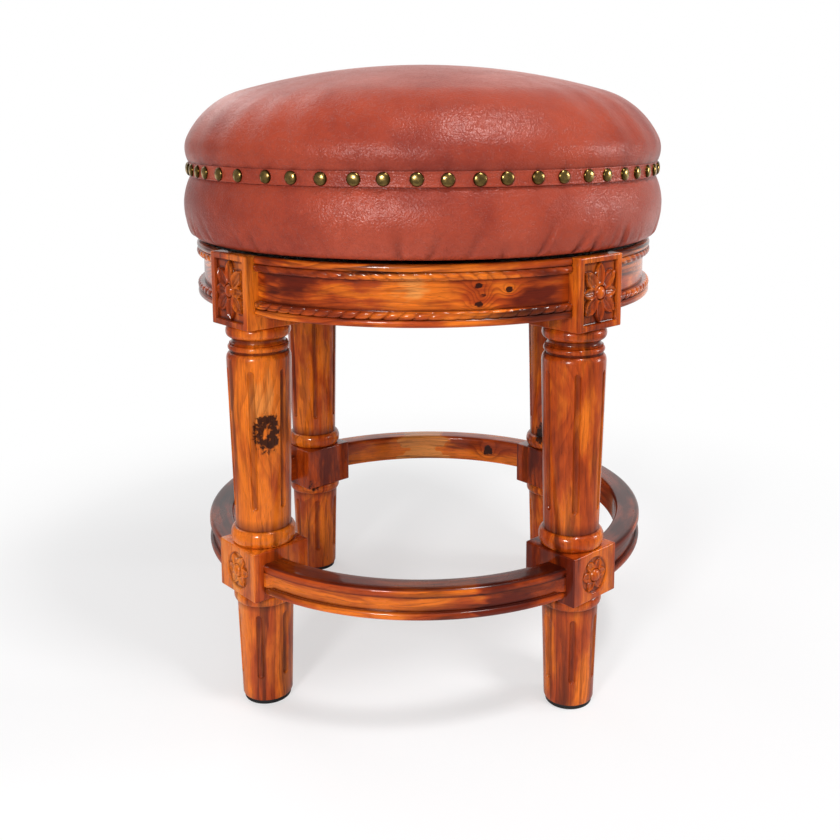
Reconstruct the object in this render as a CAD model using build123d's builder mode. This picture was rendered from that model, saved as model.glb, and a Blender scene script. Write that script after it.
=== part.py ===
from build123d import *
import os
from math import cos, hypot, radians, sin, sqrt

# A round swivel stool: four turned and fluted legs of rosewood, a moulded round
# apron, a round footrest, and a leather seat on a wooden drum that turns on a
# flat steel swivel. Millimetres, +Z up, origin at the floor under the seat's centre.
# The front is towards -Y, and the legs stand on the diagonals.

os.makedirs("parts", exist_ok=True)

# Whole stool
overall_height = 647.7
apron_radius = 248.0
cushion_height = 101.7
drum_height = 83.0
leg_axis_inset = 28.0
leg_angles = {"front_left": 225, "front_right": 315, "back_right": 45, "back_left": 135}
rail_angles = {"front": 270, "right": 0, "back": 90, "left": 180}
leg_step_angle = 90
glue_gap = 0.1
cut_overrun = 2.0

# Rounds are cut as this many flats along their curve
crown_flat_count = 4
round_flat_count = 3
small_round_flat_count = 2

# Leg blank and its two square blocks
leg_square = 64.0
top_block_height = 71.5
lower_block_base = 119.0
lower_block_height = 49.7
block_chamfer = 1.2

# Leg turnings, named from the floor up
foot_pad_height = 4.0
foot_pad_radius = 23.5
foot_pad_sides = 16
foot_radius = 25.2
foot_chamfer = 1.6
lower_shaft_radius = 28.3
lower_bead_height = 11.5
lower_bead_relief = 3.0
mid_collar_height = 17.0
mid_collar_relief = 3.8
shaft_foot_radius = 27.9
shaft_top_radius = 32.0
shoulder_height = 9.0
shoulder_neck_radius = 28.0
astragal_height = 7.0
astragal_relief = 1.8
cove_height = 6.0
cove_depth = 3.2
top_collar_height = 12.0
top_collar_relief = 3.6

# Stopped flutes on both shafts of a leg
flute_count = 6
flute_offset_angle = 30
flute_width = 6.4
flute_depth = 1.8
flute_wall_angle = 45
flute_point_length = 3.0
upper_flute_top_margin = 8.0
upper_flute_foot_margin = 22.0
lower_flute_top_margin = 10.0
lower_flute_foot_margin = 25.0

# Carved rosettes on the outer faces of the blocks
petal_count = 8
carving_depth = 2.2
petal_wall_angle = 32
petal_shoulder_share = 0.55
top_field_width = 50.0
top_field_height = 60.0
top_petal_reach = 26.5
top_petal_width = 11.0
top_petal_reach_shares = (1.0, 0.86, 0.84, 0.86)
lower_field_radius = 21.0
lower_petal_reach = 18.0
lower_petal_width = 8.5
lower_petal_reach_shares = (1.0,)
top_button_radius = 7.5
lower_button_radius = 10.0
button_sides = 12
button_height = 4.2
button_slope_angle = 50

# Round apron of four moulded rails
apron_height = 57.0
apron_thickness = 26.0
apron_bead_height = 7.0
apron_rope_height = 7.2
apron_bead_relief = 1.8
apron_panel_inset = 6.8
apron_tenon_height = 32.0
tenon_thickness = 12.0
tenon_length = 24.0

# Round footrest of four stretchers between the lower blocks
footrest_inset = 3.5
footrest_rise = 7.0
footrest_height = 31.0
footrest_thickness = 26.0
footrest_round = 4.0
footrest_nosing_height = 8.5
footrest_recess_depth = 3.2
footrest_lip_height = 8.0
footrest_lip_relief = 2.5
footrest_tenon_height = 21.0

# Black board in the top of the apron, and the glued blocks under it
board_inset = 7.4
board_thickness = 12.0
corner_block_depth = 36.0
corner_block_width = 60.0
corner_block_height = 30.0

# Hexagonal screws
screw_sides = 6
screw_radius = 2.4
screw_clearance = 0.1
screw_head_radius = 4.6
screw_head_height = 2.2
board_screw_bite = 9.0
plate_screw_bite = 8.0

# Flat swivel between the board and the seat
plate_size = 160.0
plate_thickness = 3.0
base_plate_hole_margin = 22.0
top_plate_hole_margin = 11.0
glide_ring_share = 0.75
glide_ring_width = 30.0
glide_ring_thickness = 3.0
pivot_radius = 11.0
pivot_nut_radius = 16.5
pivot_nut_height = 7.0
pivot_fit_clearance = 0.05
pivot_end_play = 0.2
pivot_well_radius = 20.0

# Wooden drum of the seat
seat_gap = 3.5
leather_thickness = 1.2
hoop_overhang = 2.5
hoop_thickness = 14.5
hoop_foot_bevel_width = 8.5
hoop_foot_bevel_height = 16.0
seat_base_thickness = 15.0
deck_thickness = 12.0
deck_inset = 1.0

# Leather side, from its turned-in hem up to the band
side_turn_reach = 2.0
side_turn_height = 8.0

# Leather band and its domed nails
band_height = 14.0
band_thickness = 1.4
nail_count = 57
nail_sides = 6
nail_radius = 5.8
nail_dome_height = 2.9
nail_dome_angle = 40

# Crowned cushion above the band
crown_drop = 24.7
shoulder_width = 52.5
shoulder_foot_reach = 1.1
shoulder_foot_rise = 26.0

# Heights and radii worked out from the sizes above
deck_height = overall_height - cushion_height
frame_height = deck_height - drum_height
leg_axis_radius = apron_radius - leg_axis_inset
footrest_radius = apron_radius - footrest_inset
footrest_base = lower_block_base + footrest_rise
board_radius = apron_radius - board_inset
hoop_radius = apron_radius + hoop_overhang
deck_radius = hoop_radius - deck_inset
side_turn_radius = hoop_radius + side_turn_reach
crown_edge_radius = hoop_radius - shoulder_width
shoulder_foot_radius = hoop_radius + shoulder_foot_reach
glide_ring_radius = plate_size / 2 * glide_ring_share
leg_base = foot_pad_height
lower_bead_base = lower_block_base - lower_bead_height
lower_block_top = lower_block_base + lower_block_height
mid_collar_top = lower_block_top + mid_collar_height
top_block_base = frame_height - top_block_height
top_collar_base = top_block_base - top_collar_height
cove_base = top_collar_base - cove_height
astragal_base = cove_base - astragal_height
shoulder_base = astragal_base - shoulder_height
apron_base = frame_height - apron_height
board_base = frame_height - board_thickness
apron_tenon_middle = (apron_base + board_base) / 2
footrest_tenon_middle = footrest_base + footrest_height / 2
base_plate_top = frame_height + plate_thickness
glide_ring_top = base_plate_top + glide_ring_thickness
swivel_top = glide_ring_top + plate_thickness
seat_foot = frame_height + seat_gap
hem_top = seat_foot + leather_thickness
deck_top = deck_height + deck_thickness
side_radius = hoop_radius + leather_thickness
lap_radius = side_radius + leather_thickness
band_base = deck_height - band_height
band_radius = lap_radius + band_thickness
hoop_bore_radius = hoop_radius - hoop_thickness
hoop_foot_radius = hoop_radius - hoop_foot_bevel_width


# Directions, planes and rounds


def radial(angle):
    """Unit vector from the stool's axis out to an angle."""
    return Vector(cos(radians(angle)), sin(radians(angle)), 0)


def tangential(angle):
    """Unit vector along the circle at an angle, anticlockwise from above."""
    return Vector(-sin(radians(angle)), cos(radians(angle)), 0)


def upwards(height):
    """Vector of a height along Z."""
    return Vector(0, 0, height)


def level_plane(place, height, facing=1):
    """Level plane at a place on the floor plan. facing is 1 for up and -1 for down."""
    return Plane(origin=place + upwards(height), x_dir=(1, 0, 0), z_dir=(0, 0, facing))


def leg_plane(angle, height):
    """Level plane on a leg's axis, X outwards."""
    place = radial(angle) * leg_axis_radius + upwards(height)
    return Plane(origin=place, x_dir=radial(angle), z_dir=(0, 0, 1))


def section_plane(angle, distance=0):
    """Upright plane at a distance from the stool's axis, X outwards and Y up."""
    return Plane(origin=radial(angle) * distance, x_dir=radial(angle), z_dir=tangential(angle) * -1)


def block_side_plane(angle, side, height):
    """Plane on a block's side face, X up, facing away from the leg. side is 1 or -1."""
    centre = radial(angle) * leg_axis_radius + tangential(angle) * (side * leg_square / 2)
    return Plane(origin=centre + upwards(height), x_dir=(0, 0, 1), z_dir=tangential(angle) * side)


def block_face_plane(angle, height):
    """Plane on a block's outer face, X along the circle and Y up."""
    face = radial(angle) * (leg_axis_radius + leg_square / 2)
    return Plane(origin=face + upwards(height), x_dir=tangential(angle), z_dir=radial(angle))


def rail_offset(radius, thickness):
    """How far out from a leg's axis the middle of a round rail meets the block's side."""
    return sqrt((radius - thickness / 2) ** 2 - (leg_square / 2) ** 2) - leg_axis_radius


def flats(curve, count=round_flat_count):
    """Corners of a curve cut as that many flats, both ends included."""
    return [(point.X, point.Y) for point in (curve @ (step / count) for step in range(count + 1))]


def bead(lower, upper, relief, count=round_flat_count):
    """Flats of a round between two (radius, height) points. A negative relief makes a cove."""
    crest = ((lower[0] + upper[0]) / 2 + relief, (lower[1] + upper[1]) / 2)
    return flats(ThreePointArc(lower, crest, upper, mode=Mode.PRIVATE), count)


def tangent_flats(start, end, tangent, count=round_flat_count):
    """Flats of an arc that leaves its start along a tangent."""
    return flats(TangentArc(start, end, tangent=tangent, mode=Mode.PRIVATE), count)


def end_tangent(start, end, tangent):
    """Direction in which an arc that starts along tangent reaches its end."""
    chord_x, chord_y = end[0] - start[0], end[1] - start[1]
    chord = hypot(chord_x, chord_y)
    unit_x, unit_y = chord_x / chord, chord_y / chord
    along = tangent[0] * unit_x + tangent[1] * unit_y
    return (2 * along * unit_x - tangent[0], 2 * along * unit_y - tangent[1])


def beside(point, tangent, distance):
    """Point moved to the left of its direction of travel."""
    return (point[0] - tangent[1] * distance, point[1] + tangent[0] * distance)


def save(part, name):
    """Label a finished piece and write it under its own name."""
    part.label = name
    export_step(part, "parts/" + name + ".step")


# Hexagonal screws and the holes that they sit in


def screws(planes, length):
    """Screws whose heads sit on the planes and whose shanks point the other way."""
    with BuildPart() as fasteners:
        with BuildSketch(*planes):
            RegularPolygon(screw_head_radius, screw_sides)
        extrude(amount=screw_head_height)
        with BuildSketch(*planes):
            RegularPolygon(screw_radius, screw_sides)
        extrude(amount=-length)
    return fasteners.part


def screw_holes(planes, depth):
    """Clearance holes for the shanks of screws on the planes, to be cut from a piece."""
    with BuildPart(mode=Mode.PRIVATE) as drill:
        with BuildSketch(*planes):
            RegularPolygon(screw_radius + screw_clearance, screw_sides)
        extrude(amount=-depth)
    return drill.part


corner_block_middle = leg_axis_radius - leg_square / 2 - corner_block_depth / 2
board_screw_planes = [
    level_plane(radial(angle) * corner_block_middle, board_base - corner_block_height, -1)
    for angle in leg_angles.values()
]


def plate_screw_planes(margin, height, facing):
    """Planes of four screws at a plate's corners, with heads that point up or down."""
    reach = plate_size / 2 - margin
    corners = [(x, y) for x in (-reach, reach) for y in (-reach, reach)]
    return [level_plane(Vector(x, y, 0), height, facing) for x, y in corners]


base_plate_screw_planes = plate_screw_planes(base_plate_hole_margin, base_plate_top, 1)
top_plate_screw_planes = plate_screw_planes(top_plate_hole_margin, glide_ring_top, -1)
board_screw_length = corner_block_height + board_screw_bite
plate_screw_length = plate_thickness + plate_screw_bite


# Legs: every leg is this one, made on the +X side and turned into its place

leg_home_angle = 0
shaft_axis = Axis(radial(leg_home_angle) * leg_axis_radius, (0, 0, 1))
lower_block_middle = (lower_block_base + lower_block_top) / 2
top_block_middle = (top_block_base + frame_height) / 2

foot_turning = [
    (0, leg_base),
    (foot_radius - foot_chamfer, leg_base),
    (foot_radius, leg_base + foot_chamfer),
]
lower_bead = bead(
    (lower_shaft_radius, lower_bead_base),
    (lower_shaft_radius, lower_block_base),
    lower_bead_relief,
    small_round_flat_count,
)
mid_collar = bead(
    (shaft_foot_radius, lower_block_top),
    (shaft_foot_radius, mid_collar_top),
    mid_collar_relief,
)
shoulder = [(shaft_top_radius, shoulder_base), (shoulder_neck_radius, astragal_base)]
astragal = bead(shoulder[-1], (shoulder_neck_radius, cove_base), astragal_relief, small_round_flat_count)
cove = bead(astragal[-1], (shoulder_neck_radius, top_collar_base), -cove_depth, small_round_flat_count)
top_collar = bead(cove[-1], (shoulder_neck_radius, top_block_base), top_collar_relief)
leg_core_top = [(shoulder_neck_radius, board_base), (0, board_base)]


def petal_outline(reach, width):
    """Pointed leaf from the origin along +Y."""
    with BuildSketch() as petal:
        with BuildLine():
            Polyline(
                (0, 0),
                (width / 2, reach * petal_shoulder_share),
                (0, reach),
                (-width / 2, reach * petal_shoulder_share),
                close=True,
            )
        make_face()
    return petal.sketch


def flute_outline(length):
    """Long slot with pointed ends, centred on the origin along X."""
    with BuildSketch() as slot:
        with BuildLine():
            Polyline(
                (-length / 2, 0),
                (flute_point_length - length / 2, -flute_width / 2),
                (length / 2 - flute_point_length, -flute_width / 2),
                (length / 2, 0),
                (length / 2 - flute_point_length, flute_width / 2),
                (flute_point_length - length / 2, flute_width / 2),
                close=True,
            )
        make_face()
    return slot.sketch


def flute_plane(turn, lower, upper):
    """Plane on a shaft's surface at a turn from the leg's outer side, X up along the shaft."""
    outwards = radial(leg_home_angle + turn)
    along = outwards * (upper[0] - lower[0]) + upwards(upper[1] - lower[1])
    middle = outwards * ((upper[0] + lower[0]) / 2) + upwards((upper[1] + lower[1]) / 2)
    facing = outwards * (upper[1] - lower[1]) - upwards(upper[0] - lower[0])
    return Plane(origin=radial(leg_home_angle) * leg_axis_radius + middle, x_dir=along, z_dir=facing)


def flute_ends(lower, upper, foot_margin, top_margin):
    """The (radius, height) points where a flute starts and stops on a shaft."""
    slope = (upper[0] - lower[0]) / (upper[1] - lower[1])
    return (
        (lower[0] + slope * foot_margin, lower[1] + foot_margin),
        (upper[0] - slope * top_margin, upper[1] - top_margin),
    )


upper_flute = flute_ends(
    (shaft_foot_radius, mid_collar_top),
    (shaft_top_radius, shoulder_base),
    upper_flute_foot_margin,
    upper_flute_top_margin,
)
lower_flute = flute_ends(
    (foot_radius, leg_base),
    (lower_shaft_radius, lower_bead_base),
    lower_flute_foot_margin,
    lower_flute_top_margin,
)

with BuildPart() as leg:
    # The lathe's work
    with BuildSketch(section_plane(leg_home_angle, leg_axis_radius)):
        with BuildLine():
            Polyline(
                *foot_turning,
                *lower_bead,
                *mid_collar,
                *shoulder,
                *astragal[1:],
                *cove[1:],
                *top_collar[1:],
                *leg_core_top,
                close=True,
            )
        make_face()
    revolve(axis=shaft_axis)

    # Flutes, widened outwards so that their walls slope
    for lower, upper in (upper_flute, lower_flute):
        flute_length = hypot(upper[0] - lower[0], upper[1] - lower[1])
        with BuildSketch(
            *[
                flute_plane(flute_offset_angle + step * 360 / flute_count, lower, upper)
                for step in range(flute_count)
            ]
        ):
            add(flute_outline(flute_length))
        extrude(amount=-flute_depth, taper=flute_wall_angle, mode=Mode.SUBTRACT)

    # The square blocks
    for base, height in ((lower_block_base, lower_block_height), (top_block_base, top_block_height)):
        with BuildSketch(leg_plane(leg_home_angle, base)):
            Rectangle(leg_square, leg_square)
            chamfer(vertices(), length=block_chamfer)
        extrude(amount=height)

    # Carved rosettes on the outer faces, each in a sunk field
    top_face = block_face_plane(leg_home_angle, top_block_middle)
    lower_face = block_face_plane(leg_home_angle, lower_block_middle)
    with BuildSketch(top_face):
        Rectangle(top_field_width, top_field_height)
    extrude(amount=-carving_depth, mode=Mode.SUBTRACT)
    with BuildSketch(lower_face):
        RegularPolygon(lower_field_radius, petal_count)
    extrude(amount=-carving_depth, mode=Mode.SUBTRACT)
    for face, reach, width, reach_shares, button_radius in (
        (top_face, top_petal_reach, top_petal_width, top_petal_reach_shares, top_button_radius),
        (lower_face, lower_petal_reach, lower_petal_width, lower_petal_reach_shares, lower_button_radius),
    ):
        field_floor = face.offset(-carving_depth)
        for step in range(petal_count):
            with BuildSketch(field_floor.rotated((0, 0, step * 360 / petal_count))):
                add(petal_outline(reach * reach_shares[step % len(reach_shares)], width))
            extrude(amount=carving_depth, taper=petal_wall_angle)
        with BuildSketch(field_floor):
            RegularPolygon(button_radius, button_sides)
        extrude(amount=button_height, taper=button_slope_angle)

    # Mortises for the rails and the footrest, and the seat of the board
    for side in (1, -1):
        for height, tenon_height, offset in (
            (apron_tenon_middle, apron_tenon_height, rail_offset(apron_radius, apron_thickness)),
            (footrest_tenon_middle, footrest_tenon_height, rail_offset(footrest_radius, footrest_thickness)),
        ):
            with BuildSketch(block_side_plane(leg_home_angle, side, height)):
                with Locations((0, side * offset)):
                    Rectangle(tenon_height, tenon_thickness)
            extrude(amount=-tenon_length - glue_gap, mode=Mode.SUBTRACT)
    with BuildSketch(Plane.XY.offset(board_base)):
        Circle(board_radius + glue_gap)
    extrude(amount=board_thickness + cut_overrun, mode=Mode.SUBTRACT)

for leg_name, leg_angle in leg_angles.items():
    with BuildPart() as placed_leg:
        add(leg.part, rotation=(0, 0, leg_angle - leg_home_angle))
    save(placed_leg.part, "leg_" + leg_name)

    with BuildPart() as foot_pad:
        with BuildSketch(leg_plane(leg_angle, 0)):
            RegularPolygon(foot_pad_radius, foot_pad_sides)
        extrude(amount=foot_pad_height)
    save(foot_pad.part, "foot_pad_" + leg_name)

    with BuildPart() as corner_block:
        with BuildSketch(leg_plane(leg_angle, board_base - corner_block_height)):
            with Locations((corner_block_middle - leg_axis_radius, 0)):
                Rectangle(corner_block_depth, corner_block_width)
        extrude(amount=corner_block_height)
        add(screw_holes(board_screw_planes, corner_block_height), mode=Mode.SUBTRACT)
    save(corner_block.part, "corner_block_" + leg_name)


# Apron rails and footrest stretchers


def apron_outline():
    """Section of the apron: bead, rope bead, flat panel, rope bead, bead."""
    valley = apron_radius - apron_bead_relief
    panel = apron_radius - apron_panel_inset
    back = apron_radius - apron_thickness
    lower_rope_base = apron_base + apron_bead_height
    panel_base = lower_rope_base + apron_rope_height
    upper_rope_top = frame_height - apron_bead_height
    panel_top = upper_rope_top - apron_rope_height
    with BuildSketch() as section:
        with BuildLine():
            Polyline(
                (back, apron_base),
                *bead((valley, apron_base), (valley, lower_rope_base), apron_bead_relief),
                *bead((valley, lower_rope_base), (valley, panel_base), apron_bead_relief)[1:],
                (panel, panel_base),
                (panel, panel_top),
                *bead((valley, panel_top), (valley, upper_rope_top), apron_bead_relief),
                *bead((valley, upper_rope_top), (valley, frame_height), apron_bead_relief)[1:],
                (board_radius + glue_gap, frame_height),
                (board_radius + glue_gap, board_base),
                (back, board_base),
                close=True,
            )
        make_face()
    return section.sketch


def footrest_outline():
    """Section of the footrest: rounded nosing over a sunk face and a rounded lip."""
    back = footrest_radius - footrest_thickness
    top = footrest_base + footrest_height
    sunk = footrest_radius - footrest_recess_depth
    lip_root = footrest_radius - footrest_lip_relief
    nose_foot = (footrest_radius, top - footrest_round)
    nose_top = (footrest_radius - footrest_round, top)
    lip_top = footrest_base + footrest_lip_height
    with BuildSketch() as section:
        with BuildLine():
            Polyline(
                (back, footrest_base),
                *bead((lip_root, footrest_base), (lip_root, lip_top), footrest_lip_relief),
                (sunk, lip_top),
                (sunk, top - footrest_nosing_height),
                (footrest_radius, top - footrest_nosing_height),
                *tangent_flats(nose_foot, nose_top, (0, 1), small_round_flat_count),
                (back + footrest_round, top),
                (back, top - footrest_round),
                close=True,
            )
        make_face()
    return section.sketch


def round_rail(middle_angle, outline, height, tenon_height, offset):
    """One quarter of a ring between two leg blocks, with a tenon into each of them."""
    first_leg = middle_angle - leg_step_angle / 2
    second_leg = middle_angle + leg_step_angle / 2
    ends = ((first_leg, 1), (second_leg, -1))
    with BuildPart() as rail:
        with BuildSketch(section_plane(first_leg)):
            add(outline)
        revolve(axis=Axis.Z, revolution_arc=leg_step_angle)
        for leg_angle, side in ends:
            split(bisect_by=block_side_plane(leg_angle, side, height), keep=Keep.TOP)
        for leg_angle, side in ends:
            with BuildSketch(block_side_plane(leg_angle, side, height)):
                with Locations((0, side * offset)):
                    Rectangle(tenon_height, tenon_thickness)
            extrude(amount=-tenon_length)
    return rail.part


apron_section = apron_outline()
footrest_section = footrest_outline()

for rail_name, rail_angle in rail_angles.items():
    apron_rail = round_rail(
        rail_angle,
        apron_section,
        apron_tenon_middle,
        apron_tenon_height,
        rail_offset(apron_radius, apron_thickness),
    )
    save(apron_rail, "apron_rail_" + rail_name)
    footrest = round_rail(
        rail_angle,
        footrest_section,
        footrest_tenon_middle,
        footrest_tenon_height,
        rail_offset(footrest_radius, footrest_thickness),
    )
    save(footrest, "footrest_" + rail_name)


# Board in the top of the frame

with BuildPart() as top_board:
    with BuildSketch(Plane.XY.offset(board_base)):
        Circle(board_radius)
        Circle(pivot_well_radius, mode=Mode.SUBTRACT)
    extrude(amount=board_thickness)
    add(screw_holes(board_screw_planes, board_screw_length), mode=Mode.SUBTRACT)
    add(screw_holes(base_plate_screw_planes, plate_screw_length), mode=Mode.SUBTRACT)
save(top_board.part, "top_board")

save(screws(board_screw_planes, board_screw_length), "board_screws")


# Flat swivel


def swivel_plate(base, screw_planes):
    """Square steel plate with a bore for the pivot and four screw holes."""
    with BuildPart() as plate:
        with BuildSketch(Plane.XY.offset(base)):
            Rectangle(plate_size, plate_size)
            Circle(pivot_radius + pivot_fit_clearance, mode=Mode.SUBTRACT)
        extrude(amount=plate_thickness)
        add(screw_holes(screw_planes, plate_thickness), mode=Mode.SUBTRACT)
    return plate.part


save(swivel_plate(frame_height, base_plate_screw_planes), "swivel_base_plate")
save(swivel_plate(glide_ring_top, top_plate_screw_planes), "swivel_top_plate")
save(screws(base_plate_screw_planes, plate_screw_length), "base_plate_screws")
save(screws(top_plate_screw_planes, plate_screw_length), "top_plate_screws")

with BuildPart() as glide_ring:
    with BuildSketch(Plane.XY.offset(base_plate_top)):
        Circle(glide_ring_radius)
        Circle(glide_ring_radius - glide_ring_width, mode=Mode.SUBTRACT)
    extrude(amount=glide_ring_thickness)
save(glide_ring.part, "swivel_glide_ring")

with BuildPart() as pivot:
    nut_base = swivel_top + pivot_end_play
    with BuildSketch(Plane.XY.offset(frame_height - pivot_nut_height)):
        RegularPolygon(pivot_nut_radius, screw_sides)
    extrude(amount=pivot_nut_height)
    with BuildSketch(Plane.XY.offset(frame_height)):
        Circle(pivot_radius)
    extrude(amount=nut_base - frame_height)
    with BuildSketch(Plane.XY.offset(nut_base)):
        RegularPolygon(pivot_nut_radius, screw_sides)
    extrude(amount=pivot_nut_height)
save(pivot.part, "swivel_pivot")


# Wooden drum of the seat

with BuildPart() as seat_base:
    with BuildSketch(Plane.XY.offset(swivel_top)):
        Circle(hoop_bore_radius - glue_gap)
        Circle(pivot_well_radius, mode=Mode.SUBTRACT)
    extrude(amount=seat_base_thickness)
    add(screw_holes(top_plate_screw_planes, plate_screw_length), mode=Mode.SUBTRACT)
save(seat_base.part, "seat_base")

with BuildPart() as seat_hoop:
    with BuildSketch(Plane.XZ):
        with BuildLine():
            Polyline(
                (hoop_bore_radius, hem_top),
                (hoop_foot_radius, hem_top),
                (hoop_radius, hem_top + hoop_foot_bevel_height),
                (hoop_radius, deck_height),
                (hoop_bore_radius, deck_height),
                close=True,
            )
        make_face()
    revolve(axis=Axis.Z)
save(seat_hoop.part, "seat_hoop")

with BuildPart() as seat_deck:
    with BuildSketch(Plane.XY.offset(deck_height)):
        Circle(deck_radius)
    extrude(amount=deck_thickness)
save(seat_deck.part, "seat_deck")


# Leather side and the pad under it

side_foot = (hoop_foot_radius, seat_foot)
side_turn = (side_turn_radius, seat_foot + side_turn_height)
side_head = (side_radius, band_base)
side_turn_tangent = end_tangent(side_foot, side_turn, (1, 0))
inner_foot = (hoop_foot_radius, hem_top)
inner_turn = beside(side_turn, side_turn_tangent, leather_thickness)
inner_head = (hoop_radius, band_base)
inner_corner = tangent_flats(inner_foot, inner_turn, (1, 0), small_round_flat_count)
inner_bulge = tangent_flats(inner_turn, inner_head, side_turn_tangent, small_round_flat_count)

with BuildPart() as leather_side:
    with BuildSketch(Plane.XZ):
        with BuildLine():
            Polyline(
                (hoop_bore_radius, seat_foot),
                *tangent_flats(side_foot, side_turn, (1, 0)),
                *tangent_flats(side_turn, side_head, side_turn_tangent, crown_flat_count)[1:],
                (side_radius, deck_height),
                (hoop_radius, deck_height),
                *reversed(inner_bulge),
                *reversed(inner_corner[:-1]),
                (hoop_bore_radius, hem_top),
                (hoop_bore_radius, seat_foot),
            )
        make_face()
    revolve(axis=Axis.Z)
save(leather_side.part, "leather_side")

with BuildPart() as side_pad:
    with BuildSketch(Plane.XZ):
        with BuildLine():
            Polyline(
                *inner_corner,
                *inner_bulge[1:],
                (hoop_radius, hem_top + hoop_foot_bevel_height),
                close=True,
            )
        make_face()
    revolve(axis=Axis.Z)
save(side_pad.part, "side_pad")


# Crowned cushion: foam, and the leather over it

crown_top = (0, overall_height)
crown_edge = (crown_edge_radius, overall_height - crown_drop)
shoulder_foot = (shoulder_foot_radius, deck_height + shoulder_foot_rise)
flank_foot = (lap_radius, deck_height)
crown_edge_tangent = end_tangent(crown_top, crown_edge, (1, 0))
shoulder_foot_tangent = end_tangent(crown_edge, shoulder_foot, crown_edge_tangent)
inner_crown_top = (0, overall_height - leather_thickness)
inner_crown_edge = beside(crown_edge, crown_edge_tangent, -leather_thickness)
inner_shoulder_foot = beside(shoulder_foot, shoulder_foot_tangent, -leather_thickness)
inner_crown = tangent_flats(inner_crown_top, inner_crown_edge, (1, 0), crown_flat_count)
inner_shoulder = tangent_flats(inner_crown_edge, inner_shoulder_foot, crown_edge_tangent, crown_flat_count)


def inside_outline():
    """Half section of all that the top leather covers, down to the foot of its lap."""
    with BuildSketch() as section:
        with BuildLine():
            Polyline(
                *inner_crown,
                *inner_shoulder[1:],
                (side_radius, deck_height),
                (side_radius, band_base),
                (0, band_base),
                close=True,
            )
        make_face()
    return section.sketch


with BuildPart() as leather_top:
    with BuildSketch(Plane.XZ):
        with BuildLine():
            Polyline(
                *tangent_flats(crown_top, crown_edge, (1, 0), crown_flat_count),
                *tangent_flats(crown_edge, shoulder_foot, crown_edge_tangent, crown_flat_count)[1:],
                *tangent_flats(shoulder_foot, flank_foot, shoulder_foot_tangent, small_round_flat_count)[1:],
                (lap_radius, band_base),
                (0, band_base),
                close=True,
            )
        make_face()
        add(inside_outline(), mode=Mode.SUBTRACT)
    revolve(axis=Axis.Z)
save(leather_top.part, "leather_top")

with BuildPart() as foam_crown:
    with BuildSketch(Plane.XZ):
        add(inside_outline())
    revolve(axis=Axis.Z)
    split(bisect_by=Plane.XY.offset(deck_top), keep=Keep.TOP)
save(foam_crown.part, "foam_crown")


# Leather band and its domed nails

with BuildPart() as leather_band:
    with BuildSketch(Plane.XY.offset(band_base)):
        Circle(band_radius)
        Circle(lap_radius, mode=Mode.SUBTRACT)
    extrude(amount=band_height)
save(leather_band.part, "leather_band")

nail_planes = [
    Plane(
        origin=radial(step * 360 / nail_count) * band_radius + upwards(band_base + band_height / 2),
        x_dir=(0, 0, 1),
        z_dir=radial(step * 360 / nail_count),
    )
    for step in range(nail_count)
]

with BuildPart() as nailheads:
    with BuildSketch(*nail_planes):
        RegularPolygon(nail_radius, nail_sides)
    extrude(amount=nail_dome_height, taper=nail_dome_angle)
save(nailheads.part, "nailheads")
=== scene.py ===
from math import atan2, cos, exp, hypot, pi, radians, sin, tau

import bpy
import numpy as np
from mathutils import Matrix, Vector


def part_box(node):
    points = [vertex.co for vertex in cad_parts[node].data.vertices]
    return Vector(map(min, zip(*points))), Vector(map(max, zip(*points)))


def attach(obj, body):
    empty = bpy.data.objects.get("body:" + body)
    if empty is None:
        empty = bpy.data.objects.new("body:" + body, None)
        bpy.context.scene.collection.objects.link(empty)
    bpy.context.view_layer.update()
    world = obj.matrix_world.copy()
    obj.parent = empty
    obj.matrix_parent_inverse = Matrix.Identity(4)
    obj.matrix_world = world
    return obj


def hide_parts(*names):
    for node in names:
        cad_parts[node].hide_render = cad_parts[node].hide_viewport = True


bl_info = {
    "name": "Round swivel stool",
    "version": (1, 0, 0),
    "blender": (4, 5, 0),
    "location": "3D View > Sidebar > Stool",
    "description": "Dresses a turned, carved and upholstered swivel stool",
    "category": "Add Mesh",
}

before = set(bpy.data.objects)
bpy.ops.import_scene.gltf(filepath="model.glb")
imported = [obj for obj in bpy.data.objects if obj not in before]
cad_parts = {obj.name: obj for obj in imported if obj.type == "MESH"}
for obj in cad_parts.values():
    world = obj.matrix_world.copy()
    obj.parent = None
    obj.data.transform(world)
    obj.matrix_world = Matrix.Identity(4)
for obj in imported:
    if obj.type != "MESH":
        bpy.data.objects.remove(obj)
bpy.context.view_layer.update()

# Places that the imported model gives
leg_angles = {"front_left": 225, "front_right": 315, "back_right": 45, "back_left": 135}
rail_angles = {"front": 270, "right": 0, "back": 90, "left": 180}
pad_low, pad_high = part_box("foot_pad_front_right")
leg_low, leg_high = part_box("leg_front_right")
apron_low, apron_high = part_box("apron_rail_right")
rest_low, rest_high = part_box("footrest_right")
board_low, board_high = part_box("top_board")
deck_low, deck_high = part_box("seat_deck")
side_low, side_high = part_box("leather_side")
top_low, top_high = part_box("leather_top")
band_low, band_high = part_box("leather_band")
hoop_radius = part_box("seat_hoop")[1].x
leg_axis_radius = hypot((pad_low.x + pad_high.x) / 2, (pad_low.y + pad_high.y) / 2)

# Small fits, in metres
fit_gap = 0.0001
leather_gap = 0.00005
hidden_overlap = 0.001
rebate_radius = board_high.x + fit_gap

# Parts of a rail's section
plain, bead, sunk_face, low_rope, high_rope = range(5)


# Kinds of settings


def setting(label, words, default, kind=bpy.props.FloatProperty, **limits):
    """A value that a user can change."""
    return kind(name=label, description=words, default=default, **limits)


def length(label, words, default):
    """A length, in metres."""
    return setting(label, words, default, min=0, unit="LENGTH", precision=4)


def share(label, words, default):
    """A part of one."""
    return setting(label, words, default, min=0, max=1, subtype="FACTOR")


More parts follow.
